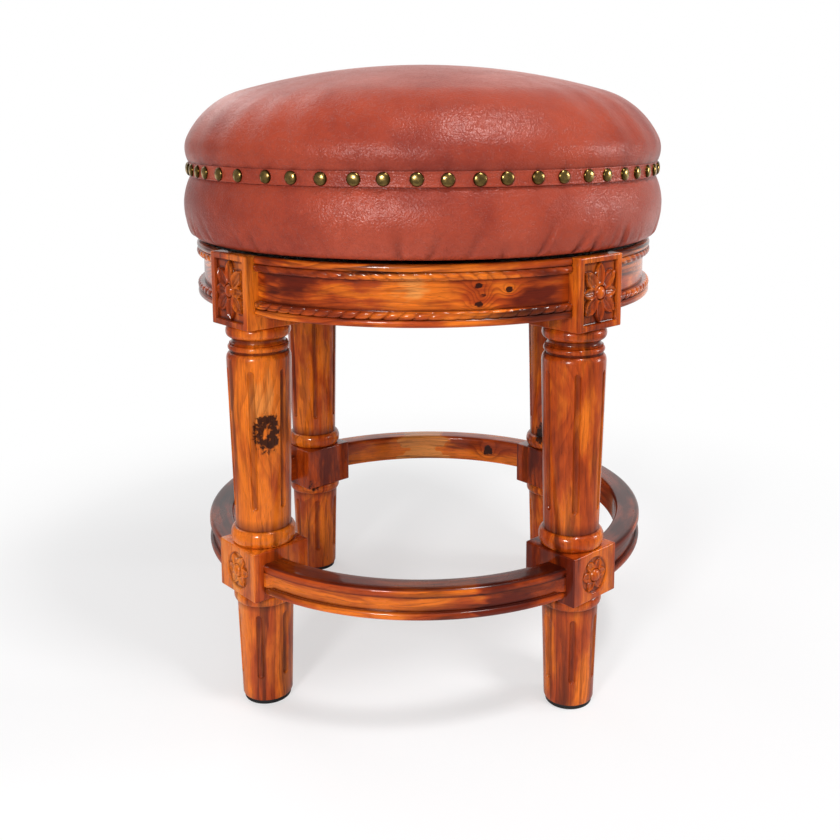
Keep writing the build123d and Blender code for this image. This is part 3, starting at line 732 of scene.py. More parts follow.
def rail_skin(section_parts, low, high, middle, figure, depart, columns):
    """Skin of a quarter ring between two blocks. Depart changes its radius along and up the section."""
    profile, parts = section_parts
    shade_depth, dark_top_depth, overlap = 0.0032, 0.002, 0.0003
    radii, heights = profile[:, :1], profile[:, 1:]
    inset = np.arcsin((bpy.context.scene.stool_legs.square / 2 - overlap) / radii)
    first, last = radians(middle - 45) + inset, radians(middle + 45) - inset
    facing = first + (last - first) * np.linspace(0, 1, columns)
    along = (facing - radians(middle)) * apron_high.x
    moved = depart(parts[:, None], heights, along, np.minimum(facing - first, last - facing) * radii)
    radii = radii + moved
    pith_out, pith_up = figure["pith"]
    grain = along + figure["along"], radii - apron_high.x + pith_out, heights - (low + high) / 2 + pith_up
    stain, swirl = knot_fields(figure, along, heights)
    tone, edge_stain = rail_tones(figure, along, heights)
    dark_top = figure.get("dark_top", 0) * (heights > heights.max() - dark_top_depth)
    return skin(
        round_axis(radii, heights, facing),
        round_columns=False,
        round_rows=True,
        caps=("sides",),
        grain=np.stack(np.broadcast_arrays(*grain), axis=-1),
        tone=tone,
        stain=np.clip(stain + edge_stain, 0, 1),
        # Painted shade: darker in the section's inner corners and where the rope notches and bead ends cut
        # in; dark_top darkens the top face as well.
        hollow=np.clip(0.85 * concave(profile)[:, None] + dark_top - moved / shade_depth, 0, 0.9),
        swirl=swirl,
    )


def apron_skin(sizes, name, middle):
    """One moulded rail of the apron."""
    low, high, reach = apron_low.z, apron_high.z, apron_high.x
    valley, panel, back = reach - sizes.bead_relief, reach - sizes.panel_inset, reach - sizes.apron_thickness
    rope_low, panel_low = low + sizes.bead_height, low + sizes.bead_height + sizes.rope_height
    rope_high, panel_high = high - sizes.bead_height, high - sizes.bead_height - sizes.rope_height
    parts = section(
        (straight((back, low), (valley, low), 3), plain),
        (bead_rows(valley, low, rope_low, sizes.bead_relief, 8), bead),
        (bead_rows(valley, rope_low, panel_low, sizes.bead_relief, 10), low_rope),
        (straight((panel, panel_low), (panel, panel_high), 18), plain),
        (bead_rows(valley, panel_high, rope_high, sizes.bead_relief, 10), high_rope),
        (bead_rows(valley, rope_high, high, sizes.bead_relief, 8), bead),
        (straight((rebate_radius, high), (rebate_radius, board_low.z), 2), plain),
        (straight((back, board_low.z), (back, low), 4), plain),
    )

    def depart(part, heights, along, to_end):
        pitch = 2 * np.abs(along).max() / sizes.rope_notches
        rise = (heights - (rope_low + panel_low) / 2) / sizes.rope_height
        fall = (heights - (rope_high + panel_high) / 2) / sizes.rope_height
        lean = np.where(part == low_rope, -rise, fall) * sizes.rope_lean
        place = ((along + lean) / pitch) % 1 - 0.5
        strength = 0.55 + 0.45 * np.sin(along * 37 + middle) * np.cos(along * 13 + part)
        fading = 0.45 + 0.55 * smooth_step(-0.05, 0.08, along)
        strength = np.where(part == high_rope, strength * fading, strength)
        notch = sizes.rope_notch_depth * strength * bell(place * pitch, sizes.rope_notch_width)
        swell = 0.15 * sizes.rope_notch_depth * np.cos(tau * place)
        end = sizes.bead_relief * (1 - smooth_step(0, 0.004, to_end)) * (part > plain)
        return -(notch + swell) * (part > sunk_face) - end

    figure = {**apron_figures[name], "along": 2.1 + 0.61 * middle / 90}
    return rail_skin(parts, low, high, middle, figure, depart, sizes.rope_notches * 14 + 1)


def footrest_skin(sizes, name, middle):
    """One stretcher of the round footrest."""
    low, high, reach = rest_low.z, rest_high.z, rest_high.x
    back, sunk, root = reach - sizes.rest_thickness, reach - sizes.recess_depth, reach - sizes.lip_relief
    edge, quirk = sizes.rest_round, 0.0007
    lip_top, nosing_base = low + sizes.lip_height, high - sizes.nosing_height
    parts = section(
        (straight((back, low), (root, low), 3), plain),
        (bead_rows(root, low, lip_top - quirk, sizes.lip_relief, 10), bead),
        (straight((root, lip_top - quirk), (root, lip_top), 1), plain),
        (straight((sunk, lip_top), (sunk, nosing_base), 12), sunk_face),
        (straight((reach - quirk, nosing_base), (reach - quirk, nosing_base + quirk), 1), plain),
        (straight((reach, nosing_base + quirk * 1.5), (reach, high - edge), 2), bead),
        (tangent_arc((reach, high - edge), (reach - edge, high), (0, 1), 6), plain),
        (straight((reach - edge, high), (back + edge, high), 4), plain),
        (tangent_arc((back + edge, high), (back, high - edge), (-1, 0), 6), plain),
        (straight((back, high - edge), (back, low), 4), plain),
    )

    def depart(part, heights, along, to_end):
        ramp = 0.9 * sizes.recess_depth * (1 - smooth_step(0.002, sizes.recess_stop, to_end))
        end = 0.0018 * (1 - smooth_step(0, 0.004, to_end))
        return ramp * (part == sunk_face) - end * (part == bead)

    figure = {**rest_figures[name], "along": 5.3 + 0.47 * middle / 90}
    return rail_skin(parts, low, high, middle, figure, depart, 181)


# Leather seat


def seat_noise(places, seed, waves=9):
    """Smooth noise round the seat from a few seeded waves, between about -1 and 1."""
    draw = np.random.default_rng(seed)
    total = np.zeros_like(places)
    for wave in range(waves):
        total += np.sin(places * draw.integers(2, 40) + draw.uniform(0, tau)) * draw.uniform(0.5, 1)
    return total / (0.55 * waves)


def side_skin(sizes):
    """Leather side with its gathers, as a closed ring."""
    foot_inset, hem_inset, pad_rise, slack_depth, seam_width = 0.0085, 0.0145, 0.018, 0.0005, 0.0012
    low, seam_height = side_low.z, band_low.z
    foot = (hoop_radius - foot_inset, low)
    bend = (hoop_radius + sizes.turn_reach, low + sizes.turn_height)
    head = (hoop_radius + sizes.leather, seam_height)
    outside = joined(
        straight((hoop_radius - hem_inset, low), foot, 2),
        tangent_arc(foot, bend, (1, 0), 10),
        tangent_arc(bend, head, end_tangent(foot, bend, (1, 0)), 26),
        straight(head, (head[0], side_high.z), 3),
    )
    inner_radius, hem_top = hoop_radius + fit_gap, low + sizes.leather
    inside = joined(
        straight((inner_radius, side_high.z), (inner_radius, low + pad_rise), 3),
        straight((foot[0], hem_top), (hoop_radius - hem_inset, hem_top), 1),
    )
    profile = joined(outside, inside)
    outer = (np.arange(len(profile)) < len(outside))[:, None]
    turns, heights = even_turns(900), profile[:, 1:]
    draw = np.random.default_rng(11)
    gathers = zip(
        (np.arange(sizes.gathers) + draw.uniform(-0.42, 0.42, sizes.gathers)) * tau / sizes.gathers,
        draw.uniform(0.15, 1, sizes.gathers) ** 1.5,
        draw.uniform(0.6, 1.5, sizes.gathers),
        draw.uniform(0.35, 1, sizes.gathers),
        draw.uniform(-0.5, 0.5, sizes.gathers),
    )
    pull = np.zeros((len(profile), turns.shape[1]))
    for centre, strength, spread, tall, lean in gathers:
        rise = (heights - low) / (sizes.gather_height * tall)
        fade = np.clip(1 - rise, 0, 1) ** 1.3 * smooth_step(-0.02, 0.12, rise)
        gap = wrapped(turns - centre) * hoop_radius - lean * (heights - low)
        width = sizes.gather_width * spread * (0.6 + 0.8 * np.clip(rise, 0, 1))
        groove = bell(gap, width) - 0.45 * bell(gap - 1.7 * width, 1.3 * width)
        crowded = 1 + 0.9 * exp(-(wrapped(centre - radians(318)) ** 2) / 0.12)
        pull += sizes.gather_depth * strength * fade * groove * crowded
    bulge = np.sin(pi * np.clip((heights - low) / (seam_height - low), 0, 1))
    slack = slack_depth * seat_noise(turns, 5) * bulge
    points = round_axis(profile[:, :1] - (pull + slack) * outer, heights, turns)
    # Painted shade: the crease layer darkens the gathers' grooves and a line under the band.
    seam = 0.8 * bell(heights - seam_height, seam_width)
    return skin(points, round_rows=True, crease=np.clip(pull / sizes.gather_depth + seam, 0, 1) * outer)


def cushion_skin(sizes):
    """Crowned leather top, closed underneath where it rests on the deck."""
    axis_radius, deck_gap, seam_width, slack_depth = 0.0008, 0.0003, 0.0013, 0.0009
    crown, seam_height = top_high.z, band_high.z
    crown_edge = (hoop_radius - sizes.shoulder_width, crown - sizes.crown_drop)
    shoulder_foot = (hoop_radius + sizes.shoulder_reach, deck_low.z + sizes.shoulder_rise)
    flank_foot, hem = (top_high.x, seam_height), (top_high.x, top_low.z)
    crown_tangent = end_tangent((0, crown), crown_edge, (1, 0))
    inner_radius, floor = hoop_radius + sizes.leather + leather_gap, deck_high.z + deck_gap
    under = joined(
        straight((axis_radius, floor), (inner_radius, floor), 6),
        straight((inner_radius, floor), (inner_radius, top_low.z), 3),
        straight((inner_radius, top_low.z), hem, 1),
    )
    over = joined(
        tangent_arc((axis_radius, crown), crown_edge, (1, 0), 34),
        tangent_arc(crown_edge, shoulder_foot, crown_tangent, 30),
        tangent_arc(shoulder_foot, flank_foot, end_tangent(crown_edge, shoulder_foot, crown_tangent), 16),
        straight(flank_foot, hem, 3),
    )
    profile = joined(under, over[::-1])
    outer = (np.arange(len(profile)) >= len(under))[:, None]
    turns, radii, heights = even_turns(684), profile[:, :1], profile[:, 1:]
    above_band = np.clip((heights - seam_height) / 0.016, 0, 1)
    pinch = bell(wrapped(turns * sizes.nails / tau, 1), 0.16) * (0.6 + 0.5 * seat_noise(turns, 3))
    pucker = sizes.pucker_depth * pinch * (1 - above_band) ** 1.5
    rounding = smooth_step(0.06, 0.2, radii) * smooth_step(0, 0.03, heights - seam_height)
    slack = slack_depth * seat_noise(turns, 21, 6) * rounding
    points = round_axis(radii - (pucker + slack) * outer, heights, turns)
    # Painted shade: the crease layer darkens the puckers by the nails and a line over the band.
    seam = 0.9 * bell(heights - seam_height, seam_width)
    crease = np.clip(0.5 * pucker / sizes.pucker_depth + seam, 0, 1) * outer
    return skin(points, caps=("foot", "head"), crease=crease)


def nail_places(sizes):
    """Angles of the nails, which stray a little from even places."""
    draw = np.random.default_rng(7)
    even = np.arange(sizes.nails) * tau / sizes.nails
    even -= 0.075 * bell(even - radians(222), 0.3)
    return even + draw.uniform(-1, 1, sizes.nails) * sizes.nail_jitter


def band_skin(sizes):
    """Strip of leather with folded edges, dented where the nails hold it, as a closed ring."""
    inner, outer = top_high.x + leather_gap, band_high.x
    low, high, half = band_low.z, band_high.z, (band_high.z - band_low.z) / 2
    fold = (outer - inner) / 2
    bends = np.linspace(-pi / 2, pi / 2, 6)
    folded = np.stack([outer - fold + fold * np.cos(bends), fold * np.sin(bends)], axis=1)
    rows = [(0, 0.0009), (0.0001, 0.0017), (0.0004, 0.0024), (0.0003, 0.0035), (0.0002, half - 0.0018)]
    face = [(outer - inset, low + rise) for inset, rise in rows]
    face += [(outer - inset, high - rise) for inset, rise in rows[::-1]]
    lower_fold, upper_fold = folded[:3] + (0, low + fold), folded[3:] + (0, high - fold)
    profile = joined([(inner, low)], lower_fold, face, upper_fold, [(inner, high)])
    turns, radii, heights = even_turns(sizes.nails * 14), profile[:, :1], profile[:, 1:]
    dents = np.zeros((len(profile), turns.shape[1]))
    off_middle = (heights - (low + high) / 2) / 0.006
    for place in nail_places(sizes):
        gap = wrapped(turns - place) * outer / 0.0072
        pleat = bell(gap - 0.9 + 0.25 * off_middle, 0.16) - bell(gap + 0.95 + 0.2 * off_middle, 0.18)
        dents += sizes.dent_depth * bell(gap) * bell(off_middle)
        dents += 0.22 * sizes.dent_depth * pleat * np.exp(-(off_middle**2) * 0.6)
    outside = (radii > inner + fold * 0.9) * 1.0
    points = round_axis(radii - np.clip(dents, -0.0001, fold * 1.5) * outside, heights, turns)
    # Painted shade: the crease layer darkens the band where the nails dent it.
    return skin(points, round_rows=True, crease=np.clip(dents / sizes.dent_depth, 0, 1) * 0.6 * outside)


def nail_skins(sizes):
    """Domed heads of the nails on the band."""
    draw = np.random.default_rng(19)
    buried, most_tilt, most_rise = 0.0009, 0.05, 0.0004
    bends = np.linspace(0, pi / 2, 7)[:-1]
    dome = np.stack([sizes.nail_radius * np.cos(bends), sizes.nail_dome * np.sin(bends)], axis=1)
    profile = joined([(sizes.nail_radius, -buried)], dome)
    rim = np.clip((profile[:, :1] / sizes.nail_radius - 0.6) / 0.4, 0, 1) ** 1.4
    turns, up = even_turns(22)[..., None], np.array([0, 0, 1.0])
    radii, heights = profile[:, :1, None], profile[:, 1:, None]
    skins = []
    for place in nail_places(sizes):
        tilt = draw.uniform(-most_tilt, most_tilt, 2)
        rise = draw.uniform(-most_rise, most_rise)
        radial, across = np.array([cos(place), sin(place), 0]), np.array([-sin(place), cos(place), 0])
        facing = radial + across * tilt[0] + up * tilt[1]
        facing /= np.linalg.norm(facing)
        centre = radial * band_high.x + up * ((band_low.z + band_high.z) / 2 + rise)
        points = centre + radii * (np.cos(turns) * across + np.sin(turns) * up) + heights * facing
        skins.append(skin(points, caps=("foot", "head"), rim=rim, wear=draw.uniform(0, 1)))
    return skins


# Shader nodes


def put(tree, kind, sockets=None, **settings):
    """A node with its settings and inputs. An input is a value or another node's output."""
    node = tree.nodes.new(kind)
    for name, value in settings.items():
        setattr(node, name, value)
    for socket, value in (sockets or {}).items():
        if isinstance(value, bpy.types.NodeSocket):
            tree.links.new(value, node.inputs[socket])
        else:
            node.inputs[socket].default_value = value
    return node


def tree_of(*values):
    """The node tree of the first node output among some values."""
    return next(value.id_data for value in values if isinstance(value, bpy.types.NodeSocket))


def calc(operation, first, second=0.0, clamp=False):
    """A value worked out from two values."""
    sockets, tree = {0: first, 1: second}, tree_of(first, second)
    return put(tree, "ShaderNodeMath", sockets, operation=operation, use_clamp=clamp).outputs[0]


def plus(first, second, clamp=False):
    """The sum of two values."""
    return calc("ADD", first, second, clamp)


def minus(first, second):
    """The difference of two values."""
    return calc("SUBTRACT", first, second)


def times(first, second, clamp=False):
    """The product of two values."""
    return calc("MULTIPLY", first, second, clamp)


def mixed(factor, first, second, blend="MIX"):
    """Two colours mixed by a factor."""
    sockets, tree = {0: factor, 6: first, 7: second}, tree_of(factor, first, second)
    return put(tree, "ShaderNodeMix", sockets, data_type="RGBA", blend_type=blend).outputs[2]


def stepped(value, low, high, to_low=0.0, to_high=1.0):
    """A soft step of a value between two limits."""
    sockets = {"Value": value, "From Min": low, "From Max": high, "To Min": to_low, "To Max": to_high}
    return put(value.id_data, "ShaderNodeMapRange", sockets, interpolation_type="SMOOTHSTEP").outputs[0]


def vector_calc(operation, vector, by=(0.0, 0.0, 0.0), output=0):
    """A vector changed by another, or its length as output 1."""
    sockets = {0: vector, 1: by}
    return put(vector.id_data, "ShaderNodeVectorMath", sockets, operation=operation).outputs[output]


def scaled(vector, scale):
    """A vector with each part multiplied."""
    return vector_calc("MULTIPLY", vector, scale)


def noise(vector, scale=1.0, detail=2.0, roughness=0.5, output="Fac"):
    """Noise at a scale, as a value or a colour."""
    sockets = {"Vector": vector, "Scale": scale, "Detail": detail, "Roughness": roughness}
    return put(vector.id_data, "ShaderNodeTexNoise", sockets).outputs[output]


def cells(vector, scale):
    """Distance to the nearest of many scattered places."""
    return put(vector.id_data, "ShaderNodeTexVoronoi", {"Vector": vector, "Scale": scale}).outputs["Distance"]


def carried(name, output="Fac"):
    """What gives a tree a layer of values that a mesh carries."""
    return lambda tree: put(tree, "ShaderNodeAttribute", attribute_name=name).outputs[output]


def object_place(tree):
    """A point's place on its object."""
    return put(tree, "ShaderNodeTexCoord").outputs["Object"]


def solid(value, factor=1.0):
    """A colour with its opacity, darkened by a factor."""
    return (*(part * factor for part in value), 1.0)


def shared_group(name, inputs, build):
    """A node group that is made once. Build gives its colour, height and roughness from its inputs."""
    if name not in bpy.data.node_groups:
        tree = bpy.data.node_groups.new(name, "ShaderNodeTree")
        for label, default in inputs.items():
            kind = "Vector" if default is None else "Color" if isinstance(default, tuple) else "Float"
            socket = tree.interface.new_socket(label, in_out="INPUT", socket_type="NodeSocket" + kind)
            if default is not None:
                socket.default_value = default
        results = {"Color": "Color", "Height": "Float", "Roughness": "Float"}
        for label, kind in results.items():
            tree.interface.new_socket(label, in_out="OUTPUT", socket_type="NodeSocket" + kind)
        given, made = tree.nodes.new("NodeGroupInput").outputs, tree.nodes.new("NodeGroupOutput").inputs
        for label, value in zip(results, build(tree, given)):
            tree.links.new(value, made[label])
    return bpy.data.node_groups[name]


def wood_nodes(tree, given):
    """Growth rings, dark streaks, fibres and pores of rosewood, along the first axis of its grain."""
    grain, contrast, dark = given["Grain"], given["Contrast"], given["Dark"]
    wander = noise(scaled(grain, (4.0, 20.0, 20.0)), 1.0, 3.0, 0.55, "Color")
    wander = scaled(vector_calc("SUBTRACT", wander, (0.5, 0.5, 0.5)), (0.0, 0.03, 0.03))
    bent = vector_calc("ADD", grain, wander)
    patch = noise(scaled(grain, (7.0, 26.0, 26.0)))
    cloud = noise(scaled(grain, (9.0, 30.0, 30.0)), 1.0, 4.0, 0.6)
    fibre = noise(scaled(grain, (30.0, 900.0, 900.0)))
    pore = stepped(noise(scaled(grain, (110.0, 1700.0, 1700.0)), 1.0, 1.0), 0.62, 0.74)

    from_pith = vector_calc("LENGTH", scaled(bent, (0.0, 1.0, 1.0)), output=1)
    ring = calc("FRACT", plus(times(from_pith, given["Rings"]), times(given["Swirl"], 2.6)))
    ring_line = times(stepped(ring, 0.35, 0.93), stepped(ring, 1.0, 0.95))
    ring_line = times(ring_line, stepped(patch, 0.35, 0.7, 0.25, 1.0))
    ring_line = times(times(ring_line, 0.5), contrast, clamp=True)
    streak = noise(scaled(bent, (5.0, 95.0, 95.0)), 1.0, 3.0, 0.6)
    streak = times(stepped(streak, 0.50, 0.63), stepped(patch, 0.38, 0.62))
    line = stepped(noise(scaled(bent, (9.0, 330.0, 330.0))), 0.55, 0.68)
    torn = times(minus(noise(grain, 230.0, 4.0), 0.5), 1.1)
    ragged = stepped(plus(given["Stain"], torn), 0.38, 0.62)
    ragged = times(ragged, stepped(given["Stain"], 0.02, 0.4), clamp=True)

    deepened = stepped(times(minus(cloud, 0.5), contrast), -0.2, 0.2, -0.26, 0.34)
    tone = plus(given["Tone"], deepened, clamp=True)
    shown = mixed(stepped(tone, -0.1, 0.16), given["Pale"], given["Light"])
    shown = mixed(stepped(tone, 0.25, 0.65), shown, given["Middle"])
    shown = mixed(stepped(tone, 0.6, 1.0), shown, dark)
    shown = mixed(ring_line, shown, dark)
    shown = mixed(times(times(streak, 0.6), contrast, clamp=True), shown, given["Streak"])
    shown = mixed(times(line, 0.4), shown, dark)
    shown = mixed(times(ragged, 0.95), shown, given["Streak"])
    # Painted shade: the Hollow layer darkens flutes, crevices, corners and sunk fields by a dark multiply.
    hollow_shade = mixed(1.0, shown, (0.2, 0.12, 0.09, 1.0), "MULTIPLY")
    shown = mixed(given["Hollow"], shown, hollow_shade)
    shade = times(stepped(fibre, 0.2, 0.8, 0.86, 1.12), minus(1.0, times(pore, 0.35)))
    grey = put(tree, "ShaderNodeCombineColor", {0: shade, 1: shade, 2: shade}).outputs[0]
    height = minus(minus(times(fibre, 0.35), times(pore, 0.5)), times(ring_line, 0.3))
    return mixed(1.0, shown, grey, "MULTIPLY"), height, stepped(cloud, 0.3, 0.7, 0.24, 0.36)


def leather_nodes(tree, given):
    """Mottled dye, pebbled grain and fine creases of leather."""
    place, deep, worn = object_place(tree), given["Deep"], given["Worn"]
    mottle = noise(place, given["Mottle"], 5.0, 0.62)
    fleck = noise(place, 150.0, 4.0, 0.65)
    wrinkle = noise(scaled(place, (1.0, 1.0, 1.4)), 110.0, 4.0, 0.65)
    line = stepped(calc("ABSOLUTE", minus(wrinkle, 0.5)), 0.022, 0.0)
    shown = mixed(stepped(mottle, 0.3, 0.56), deep, given["Main"])
    shown = mixed(stepped(mottle, 0.52, 0.8), shown, worn)
    shown = mixed(times(stepped(fleck, 0.55, 0.8), 0.35), shown, worn)
    shown = mixed(times(line, 0.22), shown, deep)
    # Painted shade: the Crease layer darkens gathers, puckers, nail dents and the seams beside the band.
    sunk = times(given["Crease"], 0.75, clamp=True)
    shown = mixed(sunk, shown, mixed(1.0, deep, (0.45, 0.4, 0.4, 1.0), "MULTIPLY"))
    height = minus(1.0, times(cells(place, 520.0), 0.9))
    height = minus(minus(height, times(cells(place, 1150.0), 0.3)), times(line, 0.8))
    height = plus(height, times(noise(place, 190.0, 5.0, 0.65), 1.3))
    return shown, height, stepped(mottle, 0.3, 0.7, 0.38, 0.28)


def worn_nodes(tree, given):
    """Clouding, fine scratches and dust of plain finishes."""
    place = object_place(tree)
    cloud = noise(place, given["Fineness"], 4.0)
    scratch = noise(scaled(place, (900.0, 40.0, 300.0)))
    soft = stepped(cloud, 0.3, 0.7)
    roughness = plus(given["Smooth"], times(minus(given["Rough"], given["Smooth"]), soft))
    return mixed(soft, given["Dark"], given["Light"]), plus(times(cloud, 0.6), times(scratch, 0.4)), roughness


def wood_figure():
    """The shared group of wood."""
    tints = bpy.context.scene.stool_finishes
    # Hollow carries the painted shade of hollows and corners.
    inputs = {"Grain": None, "Tone": 0.5, "Swirl": 0.0, "Stain": 0.0, "Hollow": 0.0}
    inputs.update({"Contrast": 1.0, "Rings": 120.0})
    shades = {"Pale": "sapwood", "Light": "honey", "Middle": "russet", "Dark": "umber", "Streak": "streak"}
    inputs.update({label: solid(getattr(tints, tint)) for label, tint in shades.items()})
    return shared_group("Wood figure", inputs, wood_nodes)


def leather_grain():
    """The shared group of leather."""
    tints = bpy.context.scene.stool_finishes
    shades = {"Deep": tints.leather_deep, "Main": tints.leather_main, "Worn": tints.leather_worn}
    inputs = {"Crease": 0.0, "Mottle": 9.0, **{label: solid(tint) for label, tint in shades.items()}}
    return shared_group("Leather grain", inputs, leather_nodes)


def worn_surface():
    """The shared group of plain finishes."""
    light, dark = solid((0.5, 0.5, 0.5)), solid((0.3, 0.3, 0.3))
    inputs = {"Fineness": 120.0, "Light": light, "Dark": dark, "Smooth": 0.3, "Rough": 0.5}
    return shared_group("Worn surface", inputs, worn_nodes)


def surface(name, tree_group, sockets, bump, bump_distance, **shader):
    """A material whose colour, roughness and bump come from one of the groups."""
    name += "_finish"
    if name in bpy.data.materials:
        return bpy.data.materials[name]
    material = bpy.data.materials.new(name)
    material.use_nodes = True
    tree = material.node_tree
    tree.nodes.clear()
    given = {label: value(tree) if callable(value) else value for label, value in sockets.items()}
    made = put(tree, "ShaderNodeGroup", given, node_tree=tree_group).outputs
    height = {"Height": made["Height"], "Strength": bump, "Distance": bump_distance}
    normal = put(tree, "ShaderNodeBump", height).outputs[0]
    paint = {"Base Color": made["Color"], "Roughness": made["Roughness"], "Normal": normal}
    for label, value in shader.items():
        paint[label.replace("_", " ").title().replace("Ior", "IOR")] = value
    principled = put(tree, "ShaderNodeBsdfPrincipled", paint)
    put(tree, "ShaderNodeOutputMaterial", {"Surface": principled.outputs[0]})
    return material


def rosewood(slot, contrast=1.0, rings=120.0):
    """Lacquered rosewood that follows a piece's own figure."""
    sockets = {"Grain": carried("grain", "Vector"), "Contrast": contrast, "Rings": rings}
    sockets.update({name.title(): carried(name) for name in ("tone", "swirl", "stain", "hollow")})
    lacquer = {"coat_weight": 0.42, "coat_roughness": 0.06, "specular_ior_level": 0.15}
    return surface(slot, wood_figure(), sockets, 0.25, 0.0003, **lacquer)


def plain_wood():
    """Bare sawn wood of the hidden parts."""
    finishes = bpy.context.scene.stool_finishes
    pale, dark = solid(finishes.bare_wood), solid(finishes.bare_wood_dark)
    sockets = {"Grain": object_place, "Contrast": 0.5, "Dark": dark, "Streak": dark}
    sockets.update({"Pale": pale, "Light": pale, "Middle": pale})
    return surface("plain_wood", wood_figure(), sockets, 0.4, 0.0004)


def leather(slot, mottle):
    """Soft dyed leather."""
    sockets = {"Crease": carried("crease"), "Mottle": mottle}
    return surface(slot, leather_grain(), sockets, 0.5, 0.0006, specular_ior_level=0.38)


def worn_finish(slot, tint, darkening, fineness, smooth, rough, **shader):
    """A plain finish with clouding and fine scratches."""
    sockets = {"Fineness": fineness, "Light": solid(tint), "Dark": solid(tint, darkening)}
    sockets.update({"Smooth": smooth, "Rough": rough})
    return surface(slot, worn_surface(), sockets, 0.2, 0.0002, **shader)


def brass():
    """Antique brass, dark round the rims and in the hollows."""
    finishes = bpy.context.scene.stool_finishes
    material = worn_finish("antique_brass", finishes.brass, 0.72, 260.0, 0.2, 0.32, metallic=1.0)
    tree = material.node_tree
    base = next(node for node in tree.nodes if node.type == "BSDF_PRINCIPLED").inputs["Base Color"]
    dulled = plus(carried("rim")(tree), times(carried("wear")(tree), 0.25), clamp=True)
    tree.links.new(mixed(dulled, base.links[0].from_socket, solid(finishes.brass_dark)), base)
    return material


def dress(material, *nodes):
    """Give carried-over parts their finish."""
    for node in nodes:
        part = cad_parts[node]
        part.data.materials.clear()
        part.data.materials.append(material)


# Stage


def add_camera(scene, stage):
    """Camera at the photograph's place and angle."""
    data = bpy.data.cameras.new("Camera")
    data.sensor_width = 36.0
    data.lens = stage.lens
    data.shift_x, data.shift_y = stage.shift
    data.clip_start, data.clip_end = 0.02, 60.0
    camera = bpy.data.objects.new("Camera", data)
    heading = Vector((-sin(stage.heading), cos(stage.heading), 0))
    forward = heading * cos(stage.pitch) - Vector((0, 0, sin(stage.pitch)))
    right = Vector((heading.y, -heading.x, 0))
    turned = Matrix((right, right.cross(forward), -forward)).transposed()
    camera.matrix_world = Matrix.Translation(stage.camera_place) @ turned.to_4x4()
    scene.collection.objects.link(camera)
    scene.camera = camera


def white_room(tree, kind, place, forward_rise, front_glow):
    """A white glow that dims towards the front for gloss, and where rays from the camera or gloss meet it."""
    rays = put(tree, "ShaderNodeLightPath").outputs
    gloss = calc("MAXIMUM", rays["Is Glossy Ray"], rays["Is Transmission Ray"])
    back = put(tree, "ShaderNodeSeparateXYZ", {0: place}).outputs[1]
    strength = calc("MAXIMUM", rays["Is Camera Ray"], stepped(back, *forward_rise, front_glow, 1.0))
    white = put(tree, kind, {"Color": solid((1.0, 1.0, 1.0)), "Strength": strength})
    return white.outputs[0], calc("MAXIMUM", rays["Is Camera Ray"], gloss)


def add_floor(scene, stage):
    """Pale floor that keeps the shadow and turns white far from the stool."""
    reach = stage.floor_reach
    corners = [(-reach, -reach, 0), (reach, -reach, 0), (reach, reach, 0), (-reach, reach, 0)]
    mesh = bpy.data.meshes.new("floor")
    mesh.from_pydata(corners, [], [(0, 1, 2, 3)])
    floor = bpy.data.objects.new("floor", mesh)
    scene.collection.objects.link(floor)
    material = bpy.data.materials.new("pale_floor")
    material.use_nodes = True
    tree = material.node_tree
    tree.nodes.clear()
    place = object_place(tree)
    tint = mixed(times(noise(place, 3.0), 0.15), solid(stage.floor), (0.86, 0.86, 0.87, 1.0))
    paint = {"Base Color": tint, "Roughness": 0.6, "Specular IOR Level": 0.15}
    matt = put(tree, "ShaderNodeBsdfPrincipled", paint)
    white, seen = white_room(tree, "ShaderNodeEmission", place, (0.1, 1.4), stage.front_glow)
    distance = vector_calc("LENGTH", place, output=1)
    faded = times(stepped(distance, stage.fade_start, stage.fade_end, stage.floor_glow, 1.0), seen)
    blend = put(tree, "ShaderNodeMixShader", {0: faded, 1: matt.outputs[0], 2: white})
    put(tree, "ShaderNodeOutputMaterial", {"Surface": blend.outputs[0]})
    mesh.materials.append(material)


def light_room(scene, stage):
    """Even light from all round, which shows as white behind the stool."""
    world = bpy.data.worlds.new("Room")
    scene.world = world
    world.use_nodes = True
    tree = world.node_tree
    tree.nodes.clear()
    lit = put(tree, "ShaderNodeBackground", {"Color": solid((1.0, 1.0, 1.0)), "Strength": stage.world_level})
    place = put(tree, "ShaderNodeTexCoord").outputs["Generated"]
    white, seen = white_room(tree, "ShaderNodeBackground", place, (0.5, 1.0), stage.front_glow)
    blend = put(tree, "ShaderNodeMixShader", {0: seen, 1: lit.outputs[0], 2: white})
    put(tree, "ShaderNodeOutputWorld", {"Surface": blend.outputs[0]})


def add_lamps(scene, stage):
    """Soft lamps overhead, in front, at the right and behind."""
    for name, place, aim_height, size, power in (
        ("top_lamp", (0.6, -0.65, 2.0), 0.5, 0.32, stage.top_power),
        ("front_lamp", (-0.55, -1.75, 0.95), 0.35, 0.3, stage.front_power),
        ("side_lamp", (1.8, 0.0, 0.75), 0.4, 0.4, stage.side_power),
        ("back_lamp", (-1.2, 1.2, 1.7), 0.4, 1.2, stage.back_power),
    ):
        data = bpy.data.lights.new(name, "AREA")
        data.shape = "SQUARE"
        data.size = size
        data.energy = power
        lamp = bpy.data.objects.new(name, data)
        lamp.location = place
        lamp.rotation_euler = (Vector((0, 0, aim_height)) - Vector(place)).to_track_quat("-Z", "Y").to_euler()
        scene.collection.objects.link(lamp)


# Operators


class BuildStage(bpy.types.Operator):
    """Camera, floor, room light and lamps"""

    bl_idname = "stool.build_stage"
    bl_label = "Stage"

    def execute(self, context):
        context.scene.view_settings.view_transform = "Standard"
        for build in (add_camera, add_floor, light_room, add_lamps):
            build(context.scene, context.scene.stool_stage)
        return {"FINISHED"}


